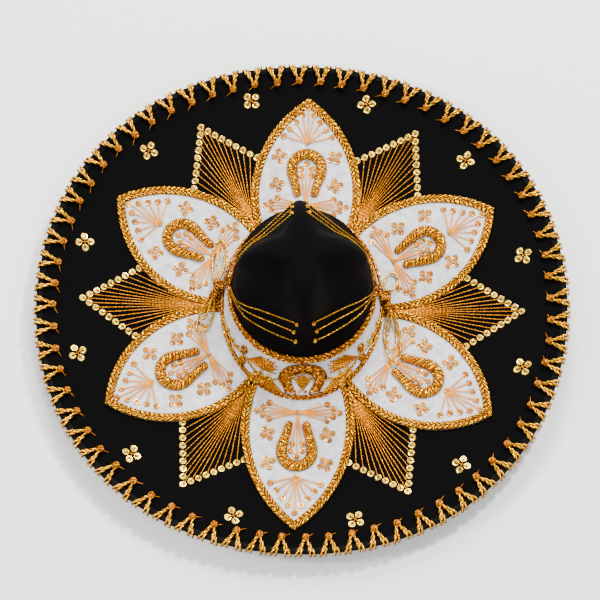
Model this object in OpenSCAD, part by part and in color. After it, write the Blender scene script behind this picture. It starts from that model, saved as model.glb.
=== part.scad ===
// Charro sombrero: a stiff velvet-covered brim and pinched crown, dressed with felt petals,
// gold braid, sequins, padded horseshoes, embroidered thread fans and cord bows.
// Millimetres, +Z up. The hat rests on z = 0, its front faces -Y and the brim is centred on Z.

/* [Brim] */
// Mean radius of the brim, out to the bound edge
brim_r = 266; // [240:1:285]
// How much the brim's half width is more than its mean radius
brim_oval = 3; // [1:0.5:8]
// How far the outline bulges at its four diagonals
brim_square = 2; // [0:0.5:4]
// Radius at which the flat part of the brim starts to curl up
flat_r = 100; // [90:1:120]
// Rise of the rim above the flat part
brim_rise = 20; // [10:1:40]
// Extra rise of the rim at the left and right
side_rise = 2; // [0:1:12]
// How late the curl comes: 1 is a straight cone, 3 turns up only near the rim
brim_curl = 2.2; // [1.4:0.1:3]

/* [Crown] */
// Height of the stiff crown form above the rest plane
crown_h = 145; // [135:1:160]
// Distance that the crown sits behind the centre of the brim
crown_back = 9; // [4:1:12]
// How far the crown's foot comes forward of the rest of it
crown_lean = 10; // [4:1:12]
// How far the crown leans back, as a share of its height
crown_tilt = 0.04; // [0:0.01:0.06]
// Degrees that the crown's pinches are turned round from the brim's front
crown_turn = 4.6; // [0:0.2:8]
// Half width of the crown wall, carried down to the brim without its flare
crown_x = 73; // [68:0.5:80]
// Half depth of the crown wall, carried down to the brim without its flare
crown_y = 70.5; // [66:0.5:76]
// Extra half width where the wall flares into the brim
flare_x = 10; // [8:0.5:12]
// Extra half depth where the wall flares into the brim
flare_y = 45; // [36:0.5:48]
// Depth of the four pinched dents, as a share of the crown's radius
dent_depth = 0.46; // [0.2:0.01:0.5]
// Mean height at which the dents begin
dent_start = 68; // [66:1:80]
// How much lower the front dents begin, and how much higher the back ones
dent_shift = 18; // [0:1:20]

/* [Layers] */
// Thickness of the stiffened form under the cloth
form_t = 2; // [1.5:0.1:3]
// Thickness of the velvet
velvet_t = 0.8; // [0.5:0.1:1]
// Thickness of the satin lining
lining_t = 0.7; // [0.4:0.1:0.8]
// Thickness of the felt petals and band
felt_t = 1.2; // [0.8:0.1:1.4]
// Thickness of the rest tape under the head opening
tape_t = 1; // [0.6:0.1:1.5]
// Height of the leather sweatband
sweat_h = 34; // [25:1:38]

/* [Ornament] */
// Distance from the brim's centre to a petal's point
petal_tip = 230; // [220:1:235]
// Half width of a petal at its widest
petal_half = 56.5; // [50:0.5:58]
// Distance from the brim's centre to a petal's widest place
petal_belly = 125; // [118:1:135]
// Width of the gold braid
braid_w = 8.5; // [6:0.5:10]
// Height of the crown band's upper edge
band_top = 41; // [36:1:44]
// Radius of the ring of sequin flowers
flower_r = 231; // [228:1:236]
// Radius of a sequin
sequin_r = 3.5; // [2:0.1:3.8]
// Number of lacing knots round the rim
lacings = 68; // [48:4:80]

/* [Hidden] */
gap = 0.1;                              // clearance between neighbouring layers
round_n = 56;                           // points round the brim
crown_n = 36;                           // points round the crown
flare_h = 20;                           // height over which the flare dies away
taper_x = 0.102;                        // how much the walls come in per mm of height
taper_y = 0.088;
shoulder_z = 97;                        // where the wall starts to round over
shoulder_r = 34;                        // how far the shoulder comes in
shoulder_h = crown_h - shoulder_z - 2;  // the last 2 mm is the slight dome of the top
dent_full = 130;                        // height at which the dents are deepest
ridge_round = 0.05;                     // how blunt the ridges between the dents are

lining_z = tape_t;
form_z = lining_z + lining_t;
velvet_z = form_z + form_t;
cloth_z = velvet_z + velvet_t;          // top of the flat velvet
felt_z = 0.3;                           // felt's underside above the velvet
braid_z = felt_z + felt_t + 0.2;        // braid's underside above the velvet
braid_t = 1.6;
edge_in = 3;                            // the layers stop this far inside the rim
wire_r = 1.2;
thread_r = 0.4;

velvet_out = velvet_t;                  // offsets from the crown form's outside
felt_in = velvet_out + gap;
felt_out = felt_in + felt_t;
band_braid_in = felt_out + 0.2;
band_braid_out = band_braid_in + 1.7;
band_bottom = cloth_z + braid_z + 2;
sweat_in = form_t + lining_t + gap;
sweat_t = 1.2;

band_front = -87.3;                     // the band sits a little round from the brim's front

petals = [-90, -30, 30, 90, 150, 210];
tip_shifts = [7, -7, -7, -2, -7, -7];   // the petals are cut by hand, so their points differ
insets = [0, 9, 9, 0, 9, 9];            // how far each petal's ornament sits in from the front one's
fans = [-120, -60, 0, 60, 120, 180];
small_r = min(3.2, sequin_r);           // radius of a petal's sequins

// Each mark is a sequin: its distance out along the axis of a fan or petal, and across it
fan_marks = chevron(167, 36.5, 222, 8);
tip_marks = chevron(187, 25, 218, 4);
eye_marks = [[145, -5.2], [152, -5.6], [158, 0], [152, 5.6], [145, 5.2]];
base_marks = [for (m = chevron(29, 8.5, 41.5, 2)) each [[111 + m[1], m[0]], [111 + m[1], -m[0]]]];
tip_root = 180;                         // where each group's threads meet
base_root = 112;
base_share = 0.6;                       // share of a petal's inset that its base spray takes

// Fans on the band: a root, then the ends of its threads, as degrees from the front and height
band_fans = [
  [[44.5, 19], [[33, 30], [27, 31.5], [21.5, 31], [19.5, 28], [19.5, 25], [20.5, 21.5]]],
  [[13.5, 10.5], [[24, 16], [28, 16], [32, 15.5], [36, 14.5], [39, 13], [41, 11.5]]],
  [[0, 13.5], [[0.5, 22.5], [3, 22], [6, 20.5]]]
];
scroll_route = [
  [18.5, 19], [21, 17.5], [25, 16], [32, 15.5], [38, 16], [43, 17.5], [49, 19], [55, 17.5],
  [61, 15.5], [68, 15], [75, 14], [82, 13]
];

// Three cords a group leave the bow at the band, turn on the side ridge and cross a dent.
// Each has its turn, as angle past the side and height, then its end, short of the ridge
front_turns = [[19.5, 63], [22, 60.5], [26, 58]];
front_ends = [[9.7, 93.5], [12.3, 77], [10.4, 63]];
back_turns = [[14, 86], [18, 80], [22, 75]];
back_ends = [[15, 138], [11.5, 133], [9.5, 124]];
cord_out = velvet_out + 1.2;
cord_d = 1.6;
bow_cord_d = 2.4;

// Routes of the bows' loose loops: x, y and height above the velvet
loops_left = [
  [[-86, 22, 9], [-82.5, 30, 6.5], [-80, 40, 5], [-78, 51, 4.6], [-79, 62, 4.6], [-83, 70, 4.6],
   [-89, 68, 4.6], [-92, 59, 4.6], [-93, 49, 4.6], [-92.5, 39, 4.8], [-91.5, 29, 6.5], [-89.5, 22, 9]],
  [[-85, 23, 13], [-82, 32, 10], [-80, 43, 8], [-81, 53, 8], [-84, 59, 8],
   [-88, 55, 8], [-88, 45, 8], [-87.5, 35, 9.5], [-88, 24, 13]],
  [[-89, 4, 9], [-89, -5, 6.5], [-90, -15, 4.6], [-94, -25, 4.6], [-101, -31, 4.6],
   [-107, -26, 4.6], [-104, -16, 4.6], [-98, -6, 6.5], [-92, 3, 9]],
  [[-91, 6, 12.5], [-93, -3, 10.5], [-95, -12, 8], [-99, -19, 8],
   [-103, -14, 8], [-100, -5, 9.5], [-94.5, 5, 12]]
];
loops_right = [
  [[84, 18, 10], [82, 27, 6.5], [84, 35, 4.8], [90, 41, 4.6], [96, 37, 4.6], [97, 28, 4.8],
   [92, 20, 6.5], [87, 17, 10]],
  [[88, -5, 10], [86, -14, 6.5], [84, -24, 4.8], [84, -34, 4.6], [88, -43, 4.6],
   [95, -42, 4.6], [97, -33, 4.6], [96, -23, 4.8], [94, -13, 6.5], [91.5, -5, 10]],
  [[91, -7, 12.5], [90, -17, 9.2], [88, -27, 7.4], [87, -37, 7.6], [87, -48, 6.8], [91, -58, 4.6],
   [98, -59, 4.6], [101, -50, 5.2], [101, -40, 7.2], [100, -30, 7.4], [98, -20, 9.2],
   [94, -7, 12.5]]
];

/* ---- Surfaces ---- */
// Points of a chevron: n per side from the ends (s0, +-w0) to the tip (s1, 0)
function chevron(s0, w0, s1, n) = [
  for (k = [-n:n]) [s1 + (s0 - s1) * abs(k) / n, w0 * k / n]
];

// How far out a fan's threads meet, which is nearer in at the sides
function fan_root(a) = 114 - 9 * pow(cos(a), 2);

function rim_r(a) = brim_r + brim_oval * cos(2 * a) - brim_square * cos(4 * a);
function rise(a) = brim_rise + side_rise * cos(2 * a);
function curl(u) = u <= 0 ? 0 : pow(u, brim_curl);

// Height of the brim's curl at x, y
function brim_z(x, y) =
  let (a = atan2(y, x))
  rise(a) * curl((norm([x, y]) - flat_r) / (rim_r(a) - flat_r));

// A point at height h above the velvet of the brim
function on_brim(x, y, h) = [x, y, brim_z(x, y) + cloth_z + h];

function spin(a, p) = [p[0] * cos(a) - p[1] * sin(a), p[0] * sin(a) + p[1] * cos(a)];

// A point s out and w across on a petal or fan whose axis points at angle a
function on_axis(a, s, w, h) = let (p = spin(a, [s, w])) on_brim(p[0], p[1], h);

function wall_x(z) = crown_x - taper_x * z + flare_x * exp(-z / flare_h);
function wall_y(z) = crown_y - taper_y * z + flare_y * exp(-z / flare_h);
function mid_y(z) = crown_back + crown_tilt * z - crown_lean * exp(-z / flare_h);

// Share of the radius left at angle a and height h, where f is the share of the top's radius
function dent(a, h, f) =
  let (
    b = a - crown_turn,
    start = dent_start + dent_shift * sin(b),
    deep = pow(min(1, max(0, (h - start) / (dent_full - start))), 0.8),
    flat = sqrt(ridge_round),
    wave = (sqrt((1 - cos(4 * b)) / 2 + ridge_round) - flat) / (sqrt(1 + ridge_round) - flat)
  )
  1 - dent_depth * wave * deep * f;

// A point of the crown at angle a: th is the turn of the shoulder, f the share of the top's radius
function crown_pt(a, z, th, f, d) =
  let (
    rx = (wall_x(z) - shoulder_r * (1 - cos(th))) * f + d * cos(th),
    ry = (wall_y(z) - shoulder_r * (1 - cos(th))) * f + d * cos(th),
    k = dent(a, z + shoulder_h * sin(th), f),
    up = z + shoulder_h * sin(th) + 2 * (1 - f * f) + d * sin(th)
  )
  [rx * k * cos(a), mid_y(z) + ry * k * sin(a), up];

function crown_ring(z, th, f, d) =
  [for (i = [0:crown_n - 1]) crown_pt(360 * i / crown_n, z, th, f, d)];

// Rings from the top of the crown down to height z0
function crown_rings(z0, d, walls) = concat(
  [for (f = [0.3, 0.65]) crown_ring(shoulder_z, 85, f, d)],
  [for (th = [85, 66, 50, 34, 17]) crown_ring(shoulder_z, th, 1, d)],
  [for (i = [walls:-1:0]) crown_ring(z0 + (shoulder_z - z0) * pow(i / walls, 1.3), 0, 1, d)]
);

function wall_pt(a, z, d) = crown_pt(a, z, 0, 1, d);

// A point of the wall or the shoulder at height h
function crown_at(a, h, d) =
  h < shoulder_z ? wall_pt(a, h, d)
  : crown_pt(a, shoulder_z, asin(min(0.98, (h - shoulder_z) / shoulder_h)), 1, d);
function flip(list) = [for (i = [len(list) - 1:-1:0]) list[i]];

/* ---- Builders ---- */
// Skins rings of equal length. Points run clockwise seen from the next ring. A loop joins its
// last ring to its first, otherwise both ends are closed.
module skin(rings, loop = false) {
  m = len(rings);
  n = len(rings[0]);
  mid = function(r) [for (k = [0:2]) [for (p = r) p[k]] * [for (p = r) 1] / n];
  points = concat([for (r = rings) each r], loop ? [] : [mid(rings[0]), mid(rings[m - 1])]);
  sides = [
    for (i = [0:(loop ? m : m - 1) - 1], j = [0:n - 1])
      let (
        a = i * n + j,
        b = i * n + (j + 1) % n,
        c = (i + 1) % m * n + (j + 1) % n,
        d = (i + 1) % m * n + j
      )
      each [[a, b, c], [a, c, d]]
  ];
  ends = loop ? [] : [
    for (j = [0:n - 1])
      each [[m * n, (j + 1) % n, j], [m * n + 1, (m - 1) * n + j, (m - 1) * n + (j + 1) % n]]
  ];
  polyhedron(points = points, faces = concat(sides, ends));
}

// One layer of the brim between two heights, from the crown (plus clear) out to the rim
module brim_layer(z0, z1, clear) {
  steps = 5;
  ring = function(t, z) [
    for (i = [0:round_n - 1])
      let (
        a = 360 * i / round_n,
        h = max(z, form_z),
        p = [(wall_x(h) + clear) * cos(a), mid_y(h) + (wall_y(h) + clear) * sin(a)],
        q = (rim_r(a) - edge_in) * [cos(a), sin(a)],
        e = p * (1 - t) + q * t
      )
      [e[0], e[1], brim_z(e[0], e[1]) + z]
  ];
  skin(concat(
    [for (i = [0:steps]) ring(i / steps, z1)],
    [for (i = [steps:-1:0]) ring(i / steps, z0)]
  ), loop = true);
}

// A ring round the rim: its section is a list of steps out from the rim and up from the velvet
module rim_ring(section) {
  skin([
    for (s = section)
      [for (i = [0:round_n - 1])
        let (a = 360 * i / round_n, r = rim_r(a) + s[0], e = r * [cos(a), sin(a)])
        [e[0], e[1], brim_z(e[0], e[1]) + cloth_z + s[1]]]
  ], loop = true);
}

// Height reached by going w up the slope of the wall from height z
function up_wall(a, z, w) = z + w / norm(wall_pt(a, z + 1, 0) - wall_pt(a, z, 0));
function level(z) = function(a) z;

// A belt round the crown's wall, d0 to d1 out from the crown form. Its lower and upper
// edges are functions that give the height at each angle.
module wall_belt(low, high, d0, d1, steps) {
  ring = function(t, d) [
    for (i = [0:crown_n - 1])
      let (a = 360 * i / crown_n)
      wall_pt(a, low(a) + (high(a) - low(a)) * t, d)
  ];
  skin(concat(
    [for (i = [steps:-1:0]) ring(i / steps, d1)],
    [for (i = [0:steps]) ring(i / steps, d0)]
  ), loop = true);
}

// Turns a child so that it lies flat on the brim at x, y, at height h above the velvet
module lay(x, y, h, turn = 0) {
  e = 1;
  gx = (brim_z(x + e, y) - brim_z(x - e, y)) / (2 * e);
  gy = (brim_z(x, y + e) - brim_z(x, y - e)) / (2 * e);
  translate(on_brim(x, y, h)) rotate([atan(gy), -atan(gx), 0]) rotate(turn) children();
}

// Turns a child so that it faces out of the crown's wall at angle a and height z
module stick(a, z, d) {
  p = wall_pt(a, z, d);
  u = wall_pt(a, z + 1, d) - wall_pt(a, z - 1, d);
  v = wall_pt(a + 1, z, d) - wall_pt(a - 1, z, d);
  n = cross(v, u) / norm(cross(v, u));
  translate(p) rotate([0, acos(n[2]), atan2(n[1], n[0])]) children();
}

// A straight round rod between two points
module rod(p, q, r) {
  v = q - p;
  translate(p) rotate([0, acos(v[2] / norm(v)), atan2(v[1], v[0])])
    cylinder(h = norm(v), r = r, $fn = 16);
}

// A round tube swept along points
module tube(path, d, sides = 8) {
  m = len(path);
  skin([
    for (i = [0:m - 1])
      let (
        t = path[min(i + 1, m - 1)] - path[max(i - 1, 0)],
        s = cross(t, [0, 0, 1]) / norm(cross(t, [0, 0, 1])),
        n = cross(s, t) / norm(t)
      )
      [for (k = [0:sides - 1]) path[i] + d / 2 * (cos(-360 * k / sides) * s + sin(-360 * k / sides) * n)]
  ]);
}

module sequin(r = sequin_r) {
  rotate_extrude($fn = 24)
    polygon([[0, 0], [0.55 * r, 0], [r, 0.5], [r, 0.8], [0.55 * r, 0.35], [0, 0.35]]);
}

/* ---- Crown ---- */
module crown_shell(z0, d0, d1, walls) {
  skin(concat(crown_rings(z0, d1, walls), flip(crown_rings(z0, d0, walls))));
}

module crown_form() {
  color([0.55, 0.5, 0.42]) crown_shell(form_z, -form_t, 0, 8);
}

module crown_velvet() {
  color([0.05, 0.045, 0.05]) crown_shell(cloth_z + gap, gap / 2, velvet_out, 8);
}

module crown_lining() {
  color([0.08, 0.07, 0.08]) crown_shell(form_z, -form_t - lining_t, -form_t - gap / 2, 6);
}

module sweatband() {
  color([0.1, 0.09, 0.09])
    wall_belt(level(form_z), level(sweat_h), -sweat_in - sweat_t, -sweat_in, 3);
}

module head_opening_tape() {
  oval = function(d) [
    for (i = [0:2 * crown_n - 1])
      let (a = 180 * i / crown_n)
      [(wall_x(form_z) + d) * cos(a), mid_y(form_z) + (wall_y(form_z) + d) * sin(a)]
  ];
  color([0.1, 0.1, 0.1])
    linear_extrude(tape_t)
      difference() {
        polygon(oval(7));
        polygon(oval(-sweat_in - sweat_t));
      }
}

/* ---- Brim ---- */
module brim_form() {
  color([0.55, 0.5, 0.42]) brim_layer(form_z, velvet_z, 0.2);
}

module brim_velvet() {
  color([0.05, 0.045, 0.05]) brim_layer(velvet_z, cloth_z, 0.2);
}

module brim_lining() {
  color([0.08, 0.07, 0.08]) brim_layer(lining_z, form_z, 0.2);
}

module rim_wire() {
  mid = -velvet_t - form_t / 2;
  color([0.6, 0.6, 0.62])
    rim_ring([for (k = [0:5]) [-1.55 + wire_r * cos(60 * k), mid + wire_r * sin(60 * k)]]);
}

module rim_binding() {
  low = -velvet_t - form_t - lining_t;
  t = 0.6;
  wide = 6;
  color([0.09, 0.085, 0.09])
    rim_ring([
      [-wide, gap], [-wide, gap + t], [-0.8, gap + t], [t, low / 2],
      [-0.8, low - gap - t], [-wide, low - gap - t], [-wide, low - gap],
      [-1.2, low - gap], [-0.1, low / 2], [-1.2, gap]
    ]);
}

// One lacing: two legs from the rim meet at a knot with a short tail
module lacing_knot() {
  reach = 16;
  spread = 6.8;
  half = 2.6;
  tall = 1.8;
  linear_extrude(tall) {
    polygon([
      [spread - half, reach], [spread + half, reach], [2, 0],
      [-2, 0], [-spread - half, reach], [-spread + half, reach], [0, 4]
    ]);
    polygon([[-1, 1], [-7, -4], [-8.5, -3], [-2, 3]]);
  }
  translate([0, 0.5, 0]) cylinder(h = tall + 0.7, r = 2.8, $fn = 20);
}

module rim_lacing() {
  color([0.78, 0.55, 0.18])
    for (k = [0:lacings - 1]) {
      a = 360 * (k + 0.5) / lacings;
      p = (rim_r(a) - 17) * [cos(a), sin(a)];
      lay(p[0], p[1], 1.4, a - 90) lacing_knot();
    }
}

/* ---- Petals ---- */
// Each side of petal i is an arc of radius arc_r about a point arc_x beyond the petal's axis
function arc_x(i) =
  let (long = petal_tip + tip_shifts[i] - petal_belly)
  (long * long - petal_half * petal_half) / (2 * petal_half);
function arc_r(i) = petal_half + arc_x(i);
sector = 29.4;                          // a petal's half angle at the crown

// Distance to petal i's outline along a ray at angle f from its axis
function petal_reach(i, f) =
  let (b = arc_x(i) * sin(abs(f)) - petal_belly * cos(f))
  -b + sqrt(b * b - pow(arc_x(i), 2) - petal_belly * petal_belly + pow(arc_r(i), 2));

// Distance from the brim's centre to the crown's outside at height z, plus clear, at angle a
function crown_reach(a, clear, z) =
  let (
    p = wall_x(z) + clear,
    q = wall_y(z) + clear,
    A = pow(cos(a) / p, 2) + pow(sin(a) / q, 2),
    B = -2 * mid_y(z) * sin(a) / (q * q),
    C = pow(mid_y(z) / q, 2) - 1
  )
  (-B + sqrt(B * B - 4 * A * C)) / (2 * A);

// The felt's inner end climbs the wall's flare to just under the band
module petal(i) {
  rays = 14;
  steps = 5;
  climb = [band_bottom - felt_z - felt_t - 0.2, cloth_z + 0.9];
  color([0.84, 0.82, 0.83])
    skin([
      for (k = [0:rays])
        let (
          f = -sector + 2 * sector * k / rays,
          a = petals[i] + f,
          r0 = crown_reach(a, velvet_out + 1.2, cloth_z),
          r1 = petal_reach(i, f),
          pt = function(t, h) let (r = r0 + (r1 - r0) * t) on_brim(r * cos(a), r * sin(a), h),
          up = function(z, h)
            let (r = crown_reach(a, velvet_out + 0.4 + 0.5 * h, z)) [r * cos(a), r * sin(a), z + h]
        )
        concat(
          [for (z = climb) up(z, felt_z)],
          [for (j = [0:steps]) pt(j / steps, felt_z)],
          [for (j = [steps:-1:0]) pt(j / steps, felt_z + felt_t)],
          [for (z = flip(climb)) up(z, felt_z + felt_t)]
        )
    ]);
}

module petal_front() { petal(0); }
module petal_front_right() { petal(1); }
module petal_back_right() { petal(2); }
module petal_back() { petal(3); }
module petal_back_left() { petal(4); }
module petal_front_left() { petal(5); }

// Angle on an arc of radius r, about petal i's side centre, at distance d from the brim's centre
function arc_start(i, r, d) =
  let (m = norm([arc_x(i), petal_belly]))
  atan2(arc_x(i), petal_belly) + asin((d * d - m * m - r * r) / (2 * r * m));

// The braid follows both arcs of its petal and stops where the felt begins to climb
module petal_braid(i) {
  steps = 9;
  edge = function(side, r, u)
    let (
      meet = crown_reach(petals[i] + 30 * side, velvet_out + 1.7, cloth_z),
      a0 = arc_start(i, r, meet),
      a1 = acos(arc_x(i) / r),
      t = a0 + (a1 - a0) * u,
      s = petal_belly + r * sin(t),
      w = min(r * cos(t) - arc_x(i), s * tan(29.5))
    )
    [s, side * w];
  ring = function(side, u)
    let (
      e0 = edge(side, arc_r(i) - braid_w, u),
      e1 = edge(side, arc_r(i) - 0.3, u),
      at = function(e, h) on_axis(petals[i], e[0], e[1], h),
      top = braid_z + braid_t
    )
    [
      at(e0, braid_z), at(e1, braid_z),
      at(e0 * 0.15 + e1 * 0.85, top), at(e0 * 0.85 + e1 * 0.15, top)
    ];
  color([0.8, 0.56, 0.17])
    skin(concat(
      [for (k = [0:steps]) ring(-1, k / steps)],
      [for (k = [steps - 1:-1:0]) ring(1, k / steps)]
    ));
}

module braid_front() { petal_braid(0); }
module braid_front_right() { petal_braid(1); }
module braid_back_right() { petal_braid(2); }
module braid_back() { petal_braid(3); }
module braid_back_left() { petal_braid(4); }
module braid_front_left() { petal_braid(5); }

// A padded horseshoe with its bend outwards
shoe_s = 153;
module horseshoe_shape() {
  outer = 21;
  inner = 9.5;
  bend = [for (t = [-90:9:90]) [cos(t), sin(t)]];
  polygon(concat(
    [[-32, -4.5], [-32, -13]], outer * bend, [[-32, 13], [-32, 4.5]], flip(inner * bend)
  ));
}

module horseshoe(i) {
  p = spin(petals[i], [shoe_s - insets[i], 0]);
  color([0.82, 0.55, 0.14])
    lay(p[0], p[1], braid_z + 0.5, petals[i]) linear_extrude(5) horseshoe_shape();
}

module horseshoe_front() { horseshoe(0); }
module horseshoe_front_right() { horseshoe(1); }
module horseshoe_back_right() { horseshoe(2); }
module horseshoe_back() { horseshoe(3); }
module horseshoe_back_left() { horseshoe(4); }
module horseshoe_front_left() { horseshoe(5); }

/* ---- Sequins and threads ---- */
// The rod from root to p, but for its first part and for the last, up to a sequin's edge
module thread(root, p, first, last) {
  way = (p - root) / norm(p - root);
  rod(root + way * first, p - way * last, thread_r);
}

module fan_threads(i) {
  root = on_axis(fans[i], fan_root(fans[i]), 0, 0.9);
  color([0.85, 0.58, 0.2]) {
    for (m = fan_marks)
      thread(root, on_axis(fans[i], m[0], m[1], 0.9), 18, sequin_r + 0.6);
    q = spin(fans[i], [fan_root(fans[i]), 0]);
    lay(q[0], q[1], 0.4, fans[i])
      linear_extrude(1) polygon([[-2, -1], [-2, 1], [14, 10], [19.5, 0], [14, -10]]);
  }
}

module fan_threads_front_left() { fan_threads(0); }
module fan_threads_front_right() { fan_threads(1); }
module fan_threads_right() { fan_threads(2); }
module fan_threads_back_right() { fan_threads(3); }
module fan_threads_back_left() { fan_threads(4); }
module fan_threads_left() { fan_threads(5); }

module sequin_at(a, s, w, h, r) {
  p = spin(a, [s, w]);
  lay(p[0], p[1], h) sequin(r);
}

module fan_sequins() {
  color([0.9, 0.7, 0.3])
    for (a = fans, m = fan_marks)
      sequin_at(a, m[0], m[1], 0.4, sequin_r);
}

module flower(a, s, w, h, spread, r) {
  for (k = [0:3])
    sequin_at(a, s + spread * cos(90 * k), w + spread * sin(90 * k), h, r);
}

module brim_flowers() {
  color([0.9, 0.75, 0.4])
    for (k = [0:11])
      flower(15 + 30 * k, flower_r, 0, 0.4, 6, sequin_r);
}

module petal_flowers() {
  color([0.85, 0.5, 0.28])
    for (i = [0:5], side = [-1, 1], m = [[134.5, 30], [165.5, 28.5]])
      flower(petals[i], m[0] - 0.8 * insets[i], m[1] * side, felt_z + felt_t + 0.3, 5.2, small_r);
}

module spray_threads(a, marks, s) {
  h = felt_z + felt_t + 0.8;
  root = on_axis(a, s, 0, h);
  for (m = marks)
    thread(root, on_axis(a, m[0], m[1], h), 5.2, small_r + 0.6);
  q = spin(a, [s, 0]);
  lay(q[0], q[1], felt_z + felt_t + 0.3) cylinder(h = 1, r = 5, $fn = 24);
}

function moved_in(marks, by) = [for (m = marks) [m[0] - by, m[1]]];

// Marks of a petal's tip spray, and of its base spray, whose eye lies within the horseshoe
function tip_spray(i) = moved_in(tip_marks, insets[i]);
function base_spray(i) =
  concat(moved_in(base_marks, base_share * insets[i]), moved_in(eye_marks, insets[i]));

module petal_sprays() {
  color([0.95, 0.6, 0.3])
    for (i = [0:5]) {
      spray_threads(petals[i], tip_spray(i), tip_root - insets[i]);
      spray_threads(petals[i], base_spray(i), base_root - base_share * insets[i]);
    }
}

module petal_sequins() {
  color([0.85, 0.5, 0.28])
    for (i = [0:5], m = concat(tip_spray(i), base_spray(i)))
      sequin_at(petals[i], m[0], m[1], felt_z + felt_t + 0.3, small_r);
}

/* ---- Crown band ---- */
module crown_band() {
  color([0.84, 0.82, 0.83]) wall_belt(level(band_bottom), level(band_top), felt_in, felt_out, 5);
}

module band_braid_top() {
  color([0.8, 0.56, 0.17])
    wall_belt(level(band_top - 6.5), level(band_top), band_braid_in, band_braid_out, 1);
}

module band_braid_bottom() {
  top = function(a) up_wall(a, band_bottom, 5.5);
  color([0.8, 0.56, 0.17])
    wall_belt(level(band_bottom), top, band_braid_in, band_braid_out, 1);
}

// A point of the band, t degrees round from its front and z up, d out from the crown form
function on_band(t, z, d) = wall_pt(band_front + t, z, d);

module band_horseshoe() {
  row = function(o, n)
    [for (e = [[o, 1], [o, 2.3], [n, 2.3], [n, 1]]) on_band(e[0][0], e[0][1], band_braid_in + e[1])];
  bend = [for (t = [-90:22.5:90]) [sin(t), cos(t)]];
  color([0.82, 0.55, 0.14])
    skin(concat(
      [row([12, 12], [5, 12])],
      [for (b = flip(bend)) row([17.4 * b[0], 20 + 13.5 * b[1]], [9 * b[0], 19 + 7.5 * b[1]])],
      [row([-12, 12], [-5, 12])]
    ));
}

// Each thread of a fan starts 12% of the way out, so that its root stays open
module band_threads() {
  d = felt_out + 1.1;
  color([0.95, 0.6, 0.3])
    for (side = [-1, 1], f = band_fans, e = f[1]) {
      p = on_band(side * f[0][0], f[0][1], d);
      q = on_band(side * e[0], e[1], d);
      rod(p + (q - p) * 0.12, q, thread_r);
    }
}

module band_sequins() {
  color([0.85, 0.5, 0.28])
    for (side = [-1, 1], e = band_fans[0][1])
      stick(band_front + side * (e[0] - 1.5), e[1] + 0.4, felt_out + 0.3) sequin(1.3);
}

// The scroll cord climbs from the horseshoe's side past the rosette to the bow
module scroll_cord(side) {
  color([0.8, 0.55, 0.18])
    tube([for (p = scroll_route) on_band(side * p[0], p[1], band_braid_in + 1.5)], 2.4);
}

module scroll_cord_left() { scroll_cord(-1); }
module scroll_cord_right() { scroll_cord(1); }

module rosette(side) {
  a = band_front + side * 49;
  color([0.85, 0.6, 0.22])
    for (z = [14, 23])
      stick(a, z, felt_out + 0.3) cylinder(h = 2.6, r = 4.8, $fn = 24);
}

module rosette_left() { rosette(-1); }
module rosette_right() { rosette(1); }

/* ---- Cords of the crown ---- */
// Keeps a point of a straight run from sinking into the crown
function outside_crown(p) =
  let (
    y = mid_y(p[2]),
    a = atan2((p[1] - y) / wall_y(p[2]), p[0] / wall_x(p[2])),
    w = crown_at(a, p[2], cord_out)
  )
  norm([p[0], p[1] - y]) > norm([w[0], w[1] - y]) ? p : w;

// Angle on the crown, t past the side at the way that a group runs
function cord_angle(side, way, t) = (side > 0 ? 0 : 180) + side * way * t;
function cord_pt(side, way, t, h) = crown_at(crown_turn + cord_angle(side, way, t), h, cord_out);
function cord_end(side, way, k, back_off) =
  let (e = (way > 0 ? back_ends : front_ends)[k])
  cord_pt(side, way, 90 - e[0] + back_off, e[1]);

module crown_cord(side, way, k) {
  turns = way > 0 ? back_turns : front_turns;
  p0 = wall_pt(cord_angle(side, way, 2 + 1.5 * k), 45, cord_out);
  p1 = cord_pt(side, way, turns[k][0], turns[k][1]);
  p2 = cord_end(side, way, k, 0);
  tube([
    for (t = [0, 0.5, 0.9]) outside_crown(p0 + (p1 - p0) * t),
    for (t = [0.05, 0.3, 0.6, 0.8, 1]) outside_crown(p1 + (p2 - p1) * t)
  ], cord_d);
}

module crown_cords() {
  color([0.88, 0.6, 0.2])
    for (side = [-1, 1], way = [-1, 1], k = [0:2])
      crown_cord(side, way, k);
}

module crown_cord_knots() {
  color([0.88, 0.6, 0.2])
    for (side = [-1, 1], way = [-1, 1], k = [0:2])
      translate(cord_end(side, way, k, 2.6)) sphere(r = 1.6, $fn = 24);
}

/* ---- Bows ---- */
module bow_knot(side, y) {
  x = side * 86;
  turn = 90 + 90 * side;
  color([0.82, 0.58, 0.2]) {
    translate(on_brim(x, y, 7))
      rotate([90, 0, turn]) cylinder(h = 12, r = 4, center = true, $fn = 32);
    translate(on_brim(x - side * 5, y + 3, 13)) rotate(turn) sphere(r = 4.6, $fn = 32);
    translate(on_brim(x - side * 9, y + 6, 20)) rotate(turn) sphere(r = 4.2, $fn = 32);
  }
}

module bow_knot_left() { bow_knot(-1, 13); }
module bow_knot_right() { bow_knot(1, 6); }

module bow_loops(loops) {
  color([0.85, 0.6, 0.22])
    for (l = loops) tube([for (p = l) on_brim(p[0], p[1], p[2])], bow_cord_d);
}

module bow_loops_left() { bow_loops(loops_left); }
module bow_loops_right() { bow_loops(loops_right); }

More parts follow.
